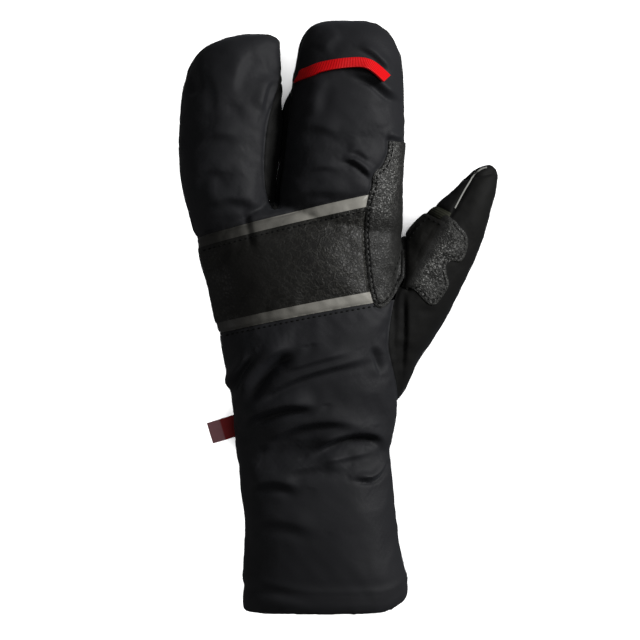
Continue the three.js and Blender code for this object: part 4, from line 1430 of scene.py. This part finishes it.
def make_materials():
    """Makes the shader groups, a material for each slot, and those of the thread and the lining."""
    make_weave_group()
    make_crease_group()
    make_pebble_group()
    f = finishes()
    MATERIALS.update(
        cloth=cloth_material("Softshell", f.cloth, 0.0005, 0.56, 0.04),
        stretch_cloth=cloth_material("Stretch Cloth", f.stretch_cloth, 0.0007, 0.7, 0.03),
        palm_leather=leather_material(
            "Palm Leather", f.palm_leather, 0.0014, 0.5, 0.00014, STITCH_INSET
        ),
        band_leather=leather_material("Band Leather", f.band_leather, 0.0018, 0.48, 0.00009),
        reflective_tape=tape_material(f.tape),
        trim_cloth=ribbed_material("Trim", f.trim, 0.0011, 0.7),
        loop_ribbon=ribbed_material("Loop Ribbon", f.loop, 0.00075, 0.38),
        label_ribbon=label_material(f.label_foot, f.label),
        piping=grained_material(
            "Piping", f.piping, 0.6, 1.2, {"scale": 1800.0, "detail": 3.0}, 0.00006,
            Roughness=0.5, Specular_IOR_Level=0.2,
        ),
        thread=grained_material(
            "Thread", f.thread, 1.0, 3.0, {"scale": 5000.0, "detail": 1.0}, 0.00004,
            Roughness=0.8, Specular_IOR_Level=0.05,
        ),
        lining=grained_material(
            "Lining", f.lining, 0.5, 1.8, {"scale": 900.0, "detail": 4.0, "Roughness": 0.7}, 0.0006,
            Roughness=0.95, Sheen_Weight=0.4, Sheen_Roughness=0.6,
        ),
        floor=grained_material(
            "Floor", f.floor, 0.99, 1.01, {"scale": 60.0, "detail": 3.0}, 0.0,
            Roughness=0.8, Specular_IOR_Level=0.2,
        ),
    )


# Sewn and laid-on details.


def spaced(path, pitch):
    """Places along a path at an even pitch, each with the direction of the path there."""
    path = np.asarray(path, float)
    steps = np.linalg.norm(np.diff(path, axis=0), axis=1)
    reach = np.concatenate(([0.0], np.cumsum(steps)))
    count = int(reach[-1] / pitch)
    result = []
    for i in range(count):
        at = (i + 0.5) * reach[-1] / count
        k = min(int(np.searchsorted(reach, at)) - 1, len(steps) - 1)
        share = (at - reach[k]) / steps[k]
        result.append((path[k] + share * (path[k + 1] - path[k]), (path[k + 1] - path[k]) / steps[k]))
    return result


def on_surface(tree, x, y, from_below=False):
    """Where an upright line meets a surface, and which way the surface faces there."""
    start, down = (-0.05, 1.0) if from_below else (0.2, -1.0)
    place, facing, _, _ = tree.ray_cast(Vector((x, y, start)), Vector((0.0, 0.0, down)))
    return place, facing


def sew(bm, path, tree, from_below):
    """Adds a row of stitches along a path to a mesh under way."""
    s = sizes()
    for centre, direction in spaced(path, s.stitch_pitch):
        ends = []
        for side in (-0.5, 0.5):
            x, y = centre + direction * side * s.stitch_length
            ends.append(on_surface(tree, x, y, from_below))
        if any(place is None for place, _ in ends):
            continue
        along = ends[1][0] - ends[0][0]
        if along.length > 2.5 * s.stitch_length:
            continue
        facing = (ends[0][1] + ends[1][1]).normalized()
        aside = facing.cross(along).normalized()
        up = along.cross(aside).normalized()
        middle = (ends[0][0] + ends[1][0]) / 2 - up * 0.00004
        turn = Matrix((along.normalized(), aside, up)).transposed().to_4x4()
        size = Matrix.Diagonal((along.length, s.stitch_width, s.stitch_width * 0.8, 1.0))
        place = Matrix.Translation(middle) @ turn @ size
        stitch = bmesh.ops.create_uvsphere(bm, u_segments=8, v_segments=6, radius=0.5, matrix=place)
        for vertex in stitch["verts"]:
            vertex.co.z = max(vertex.co.z, 0.0)


def sewing(name, slot, surface, paths, below=()):
    """A piece of all the stitches in rows on one surface, seen from above or from below."""
    bm = bmesh.new()
    for path in paths:
        sew(bm, path, FORMS[surface], False)
    for path in below:
        sew(bm, path, FORMS[surface], True)
    finish_piece(name, mesh_of(bm, name), None, slot, sharp=80.0, material=MATERIALS["thread"])


def cord_on(tree, path, half_width, half_height, lift):
    """A closed rounded cord along a path on a surface."""
    count = len(path) - 1
    rings = []
    for i, (x, y) in enumerate(path):
        place, normal = on_surface(tree, x, y)
        before, after = path[max(i - 1, 0)], path[min(i + 1, count)]
        along = Vector((after[0] - before[0], after[1] - before[1], 0.0)).normalized()
        rings.append((place + normal * lift, along.cross(normal).normalized(), normal))
    bm = ringed_cylinder(12, count)
    for vertex in bm.verts:
        centre, across, up = rings[round((vertex.co.z + 0.5) * count)]
        vertex.co = centre + across * (vertex.co.x * half_width) + up * (vertex.co.y * half_height)
    bmesh.ops.recalc_face_normals(bm, faces=bm.faces[:])
    return mesh_of(bm, "cord")


class MITT_OT_form(Operator):
    """Make the materials and the padded form that every panel is cut from"""

    bl_idname = "mitt.form"
    bl_label = "Padded Form"

    def execute(self, context):
        make_materials()
        build_forms()
        return {"FINISHED"}


class MITT_OT_back(Operator):
    """Sew the cloth panels of the back"""

    bl_idname = "mitt.back"
    bl_label = "Back Panels"

    def execute(self, context):
        fingers = back_panel(band_share(1.0), highest)
        finish_piece("finger_back_cloth", fingers, "finger_back", "cloth", fill=0.7)
        gauntlet = back_panel(shifted(hem_line, -0.4 * sizes().seam_gap), band_share(0.0))
        finish_piece("gauntlet_back_cloth", gauntlet, "gauntlet_back", "cloth", fill=0.5)
        return {"FINISHED"}


class MITT_OT_fourchette(Operator):
    """Sew the gusset between the two finger stalls"""

    bl_idname = "mitt.fourchette"
    bl_label = "Fourchette"

    def execute(self, context):
        gusset = panel(FORMS["skin"], ("INTERSECT", fourchette_zone(0.0)))
        finish_piece("fourchette_cloth", gusset, "fourchette", "stretch_cloth", fill=0.6)
        return {"FINISHED"}


class MITT_OT_band(Operator):
    """Sew the leather band over the knuckles and its reflective strips"""

    bl_idname = "mitt.band"
    bl_label = "Knuckle Band"

    def execute(self, context):
        s = sizes()
        gap = s.seam_gap
        strip = s.strip_width / s.band_height
        outer = FORMS["outer"]
        facing = back_panel(band_share(strip), band_share(1.0 - strip), "leather")
        band = cut(back_panel(band_share(0.0), band_share(1.0)), ("UNION", facing))
        finish_piece("knuckle_band_leather", band, "knuckle_band", "band_leather", fill=0.6)
        tape = moved(outer, normals_of(outer) * TAPE_RISE)
        for part, low, high in (
            ("reflective_strip_upper", 1.0 - strip, 1.0),
            ("reflective_strip_lower", 0.0, strip),
        ):
            zone = between(shifted(band_share(low), gap / 2), shifted(band_share(high), -gap / 2))
            strip_mesh = panel(
                tape,
                ("INTERSECT", zone),
                ("INTERSECT", back_half()),
                ("DIFFERENCE", wrap_zone(gap)),
                ("DIFFERENCE", thumb_zone(gap)),
                ("DIFFERENCE", outer),
            )
            finish_piece(f"{part}_tape", strip_mesh, part, "reflective_tape")
        return {"FINISHED"}


class MITT_OT_palm(Operator):
    """Sew the palm's leather and the gauntlet's palm side"""

    bl_idname = "mitt.palm"
    bl_label = "Palm Panels"

    def execute(self, context):
        gap = sizes().seam_gap
        side = cut(palm_half(), ("INTERSECT", between(shifted(palm_line, gap / 2), highest)))
        leather = panel(
            FORMS["leather"],
            ("INTERSECT", cut(side, ("UNION", wrap_zone(0.0)))),
            ("DIFFERENCE", thumb_zone(gap)),
            ("DIFFERENCE", fourchette_zone(gap)),
        )
        finish_piece("palm_hide", leather, "palm", "palm_leather", fill=0.5)
        cloth = panel(
            FORMS["skin"],
            ("INTERSECT", palm_half()),
            ("INTERSECT", between(shifted(hem_line, gap / 2), shifted(palm_line, -gap / 2))),
            ("DIFFERENCE", thumb_zone(gap)),
        )
        finish_piece("gauntlet_palm_cloth", cloth, "gauntlet_palm", "cloth", fill=0.5)
        return {"FINISHED"}


class MITT_OT_hem(Operator):
    """Sew the turned hem of the gauntlet"""

    bl_idname = "mitt.hem"
    bl_label = "Cuff Hem"

    def execute(self, context):
        below = between(lowest, shifted(hem_line, -0.1 * sizes().seam_gap))
        hem = panel(FORMS["skin"], ("INTERSECT", below))
        finish_piece("cuff_hem_cloth", hem, "cuff_hem", "cloth", fill=0.4)
        return {"FINISHED"}


def inner_side(low, high, across=THUMB_TOP_SEAM):
    """The space of the thumb's side towards the fingers, between two shares of its length."""
    return prism(on_thumb(((low, -2.0), (high, -2.0), (high, across), (low, across))))


class MITT_OT_thumb(Operator):
    """Sew the thumb's panels"""

    bl_idname = "mitt.thumb"
    bl_label = "Thumb Panels"

    def execute(self, context):
        s = sizes()
        up, aside = s.seam_gap / s.thumb_length, s.seam_gap / s.thumb_width
        cloth = cut(FORMS["skin"], ("INTERSECT", thumb_zone(0.0)))
        leather = cut(FORMS["leather"], ("INTERSECT", thumb_zone(0.0)))
        outer = panel(cloth, ("DIFFERENCE", inner_side(CROTCH_START - up, 2.0, THUMB_TOP_SEAM + aside)))
        crotch = panel(leather, ("INTERSECT", inner_side(CROTCH_START, CROTCH_END)))
        trim = panel(cloth, ("INTERSECT", inner_side(CROTCH_END + up, TRIM_END)))
        inner = panel(cloth, ("INTERSECT", inner_side(TRIM_END + up, 2.0)))
        store(trim, "along", thumb_shares(points_of(trim))[0] * s.thumb_length)
        finish_piece("thumb_outer_cloth", outer, "thumb_outer", "stretch_cloth", fill=0.6)
        finish_piece("thumb_crotch_leather", crotch, "thumb_crotch", "band_leather", fill=0.5)
        finish_piece("thumb_trim_ribs", trim, "thumb_trim", "trim_cloth", fill=0.5)
        finish_piece("thumb_inner_cloth", inner, "thumb_inner", "stretch_cloth", fill=0.6)
        return {"FINISHED"}


class MITT_OT_patch(Operator):
    """Lay the lobed leather patch and the piping on the thumb"""

    bl_idname = "mitt.patch"
    bl_label = "Thumb Patch and Piping"

    def execute(self, context):
        outer = FORMS["outer"]
        points = points_of(outer)
        outline = patch_outline()
        edge = path_distance(points[:, :2], outline, closed=True)[0]
        thickness = PATCH_RISE - 0.0004 * bell(edge, 0.0007)
        aside = thumb_shares(points)[1]
        # Past the thumb's top seam the patch sinks into the leather there.
        thickness += (0.00058 - thickness) * smoothstep(aside, -0.07, -0.13)
        thickness -= 0.00012 * smoothstep(aside, -0.14, -0.19)
        patch = panel(
            moved(outer, normals_of(outer) * thickness[:, None]),
            ("INTERSECT", prism(outline, low=sizes().thumb_seam_height)),
            ("DIFFERENCE", outer),
        )
        here = points_of(patch)
        # No stitches pull the patch down where it has no free edge.
        unsewn = 0.01 * smoothstep(thumb_shares(here)[1], -0.03, -0.08)
        store(patch, "seam", path_distance(here[:, :2], outline, closed=True)[0] + unsewn)
        finish_piece("thumb_patch_leather", patch, "thumb_patch", "palm_leather")
        path = rounded(on_thumb(PIPING_ROWS), closed=False, steps=8)
        piping = cord_on(FORMS["over_cloth"], path, 0.00042, 0.00045, 0.0002)
        finish_piece("thumb_piping_cord", piping, "thumb_piping", "piping", sharp=60.0)
        return {"FINISHED"}


class MITT_OT_loop(Operator):
    """Lay the ribbed pull loop over the index and middle stall"""

    bl_idname = "mitt.loop"
    bl_label = "Pull Loop"

    def execute(self, context):
        s = sizes()
        rows = [(*seen(row[0], row[1], 0.037), row[2] * s.loop_slack) for row in LOOP_ROWS]
        path = np.array(rounded(rows, closed=False, steps=10))
        count = len(path)
        along = np.gradient(path[:, :2], axis=0)
        along /= np.linalg.norm(along, axis=1)[:, None]
        aside = np.column_stack((-along[:, 1], along[:, 0]))
        slanted = smoothstep(np.arange(count), 14, 0)[:, None]
        aside = aside * (1.0 - slanted) + np.array(((0.5, 0.9),)) * slanted

        def edge_place(i, share):
            return path[i, :2] + aside[i] * share * s.loop_width

        heights = np.zeros((count, 2))
        for i in range(count):
            for j, share in enumerate((-0.5, 0.5)):
                place, _ = on_surface(FORMS["over_cloth"], *edge_place(i, share))
                heights[i, j] = place.z if place else heights[i - 1, j]
        # The ribbon is drawn tight over the dips in the cloth.
        for _ in range(30):
            around = heights[:-2] + heights[2:]
            heights[1:-1] = np.maximum(heights[1:-1], around / 2) * 0.5 + around * 0.25
        bm = bmesh.new()
        bmesh.ops.create_grid(bm, x_segments=count - 1, y_segments=6, size=0.5)
        steps = np.linalg.norm(np.diff(path[:, :2], axis=0), axis=1)
        reach = np.concatenate(([0.0], np.cumsum(steps)))
        distances = []
        for vertex in bm.verts:
            i = round((vertex.co.x + 0.5) * (count - 1))
            share = vertex.co.y
            z = heights[i, 0] * (0.5 - share) + heights[i, 1] * (0.5 + share)
            vertex.co = (*edge_place(i, share), z + path[i, 2] + 0.0003)
            distances.append(reach[i])
        mesh = mesh_of(bm, "loop")
        store(mesh, "along", distances)
        ribbon = modified(
            mesh,
            ("SOLIDIFY", {"thickness": 0.0009, "offset": 1.0}),
            ("BEVEL", {"width": 0.0002, "segments": 2, "limit_method": "ANGLE"}),
        )
        finish_piece("pull_loop_ribbon", ribbon, "pull_loop", "loop_ribbon")
        return {"FINISHED"}


class MITT_OT_label(Operator):
    """Sew the folded label into the side seam"""

    bl_idname = "mitt.label"
    bl_label = "Side Label"

    def execute(self, context):
        s = sizes()
        side = -float(hand_column(2, 1.0 + s.label_distance / s.palm_length))
        bm = bmesh.new()
        bmesh.ops.create_cube(bm, size=1.0)
        split_along(bm, 0, 15)
        split_along(bm, 1, 11)
        sunk = 0.0025
        reaches = []
        cosine, sine = math.cos(s.label_droop), math.sin(s.label_droop)
        for vertex in bm.verts:
            share = 0.5 - vertex.co.x
            across = vertex.co.y * s.label_width
            out = share * (s.label_length + sunk) - sunk
            thick = 0.0011 * (1.0 - 0.45 * float(smoothstep(share, 0.85, 1.0)))
            lift = 0.0009 * math.sin(share * 2.6) + 0.0006 * share * math.cos(across * 500.0)
            x = side - out * cosine - across * sine
            y = s.gauntlet_length + s.label_distance - out * sine + across * cosine
            vertex.co = (x, y, s.seam_height + 0.0003 + vertex.co.z * thick + lift)
            reaches.append(share)
        bmesh.ops.recalc_face_normals(bm, faces=bm.faces[:])
        mesh = mesh_of(bm, "label")
        store(mesh, "reach", reaches)
        label = modified(mesh, ("BEVEL", {"width": 0.00025, "segments": 2, "limit_method": "ANGLE"}))
        finish_piece("side_label_ribbon", label, "side_label", "label_ribbon")
        return {"FINISHED"}


def sewn_line(line, start, end, count, offset):
    """A row of places on a line across the hand, moved up it."""
    return [(x, float(line(x) + offset)) for x in np.linspace(start, end, count)]


class MITT_OT_stitching(Operator):
    """Add the rows of stitches along the leather"""

    bl_idname = "mitt.stitching"
    bl_label = "Stitching"

    def execute(self, context):
        s = sizes()
        strip_edge = band_share(1.0 - s.strip_width / s.band_height)
        wrap = [tuple(p) for p in widened(wrap_outline(), -STITCH_INSET)]
        patch = [tuple(p) for p in widened(patch_outline(), -PATCH_STITCH_INSET)]
        palm_edge = on_thumb(((0.22, -0.36), (0.3, -0.4), (0.4, -0.42), (0.5, -0.4), (0.57, -0.35)))
        before_trim = CROTCH_END - 0.022
        paths = (
            sewn_line(strip_edge, -0.063, 0.022, 60, -STITCH_INSET),
            wrap[1:-1],
            patch[5:-6],
            rounded(palm_edge, closed=False),
            on_thumb(((before_trim, THUMB_TOP_SEAM - 0.03), (before_trim, -0.42))),
        )
        below = (sewn_line(palm_line, -0.04, 0.03, 40, STITCH_INSET),)
        sewing("leather_stitches", "band_leather", "over_leather", paths, below)
        band_foot = sewn_line(band_share(0.0), -0.052, 0.027, 60, -0.0017)
        sewing("cloth_stitches", "cloth", "over_cloth", (band_foot,))
        return {"FINISHED"}


# Each light: its name, place, size, power and whether it lights the floor or the mitt.
LIGHTS = (
    ("key", (0.74, 0.4, 0.5), 0.32, 9.3, False),
    ("fill", (0.6, 0.4, 1.5), 0.8, 2.0, False),
    ("side light", (-0.75, -0.35, 0.14), 0.4, 0.35, False),
    ("floor light", (0.0, 0.0, 2.3), 2.4, 190.0, True),
)


class MITT_OT_stage(Operator):
    """Lay the floor and set the lights and the camera"""

    bl_idname = "mitt.stage"
    bl_label = "Stage"

    def execute(self, context):
        scene = context.scene
        bm = bmesh.new()
        bmesh.ops.create_grid(bm, x_segments=2, y_segments=2, size=3.0)
        mesh = mesh_of(bm, "floor")
        mesh.materials.append(MATERIALS["floor"])
        floor = bpy.data.objects.new("floor", mesh)
        scene.collection.objects.link(floor)
        floor.visible_diffuse = False
        floor.visible_glossy = False

        scene.world = bpy.data.worlds.new("Studio")
        scene.world.use_nodes = True
        background = scene.world.node_tree.nodes["Background"].inputs
        background["Color"].default_value = (1.0, 1.0, 1.0, 1.0)
        background["Strength"].default_value = 0.08
        for name, place, size, power, on_floor in LIGHTS:
            light = bpy.data.lights.new(name, "AREA")
            light.size = size
            light.energy = power
            lamp = bpy.data.objects.new(name, light)
            lamp.location = place
            lamp.rotation_euler = (-Vector(place)).to_track_quat("-Z", "Y").to_euler()
            scene.collection.objects.link(lamp)
            lit = bpy.data.collections.new(f"lit by {name}")
            for piece in [floor] if on_floor else PIECES:
                lit.objects.link(piece)
            lamp.light_linking.receiver_collection = lit

        lens = bpy.data.cameras.new("camera")
        lens.sensor_width = 36.0
        lens.lens = 200.0
        lens.clip_end = 10.0
        camera = bpy.data.objects.new("camera", lens)
        camera.location = (FRAME_CENTRE[0] - MIDDLE.x, FRAME_CENTRE[1] - MIDDLE.y, CAMERA_HEIGHT)
        scene.collection.objects.link(camera)
        scene.camera = camera
        scene.view_settings.view_transform = "Standard"
        return {"FINISHED"}


class MITT_PT_panel(Panel):
    """Lists the mitt's sizes, finishes and pieces"""

    bl_idname = "MITT_PT_panel"
    bl_label = "Mitt"
    bl_space_type = "VIEW_3D"
    bl_region_type = "UI"
    bl_category = "Mitt"

    def draw(self, context):
        layout = self.layout
        for settings in (context.scene.mitt_sizes, context.scene.mitt_finishes):
            box = layout.box()
            for name in settings.__annotations__:
                box.prop(settings, name)
        for operator in OPERATORS:
            layout.operator(operator.bl_idname)


OPERATORS = (
    MITT_OT_form,
    MITT_OT_back,
    MITT_OT_fourchette,
    MITT_OT_band,
    MITT_OT_palm,
    MITT_OT_hem,
    MITT_OT_thumb,
    MITT_OT_patch,
    MITT_OT_loop,
    MITT_OT_label,
    MITT_OT_stitching,
    MITT_OT_stage,
)
CLASSES = (MittSizes, MittFinishes, *OPERATORS, MITT_PT_panel)


def register():
    for cls in CLASSES:
        bpy.utils.register_class(cls)
    bpy.types.Scene.mitt_sizes = PointerProperty(type=MittSizes)
    bpy.types.Scene.mitt_finishes = PointerProperty(type=MittFinishes)


def unregister():
    del bpy.types.Scene.mitt_finishes
    del bpy.types.Scene.mitt_sizes
    for cls in reversed(CLASSES):
        bpy.utils.unregister_class(cls)


def main():
    """Builds the whole mitt in order."""
    register()
    bpy.ops.mitt.form()
    bpy.ops.mitt.back()
    bpy.ops.mitt.fourchette()
    bpy.ops.mitt.band()
    bpy.ops.mitt.palm()
    bpy.ops.mitt.hem()
    bpy.ops.mitt.thumb()
    bpy.ops.mitt.patch()
    bpy.ops.mitt.loop()
    bpy.ops.mitt.label()
    bpy.ops.mitt.stitching()
    bpy.ops.mitt.stage()


if __name__ == "__main__":
    main()
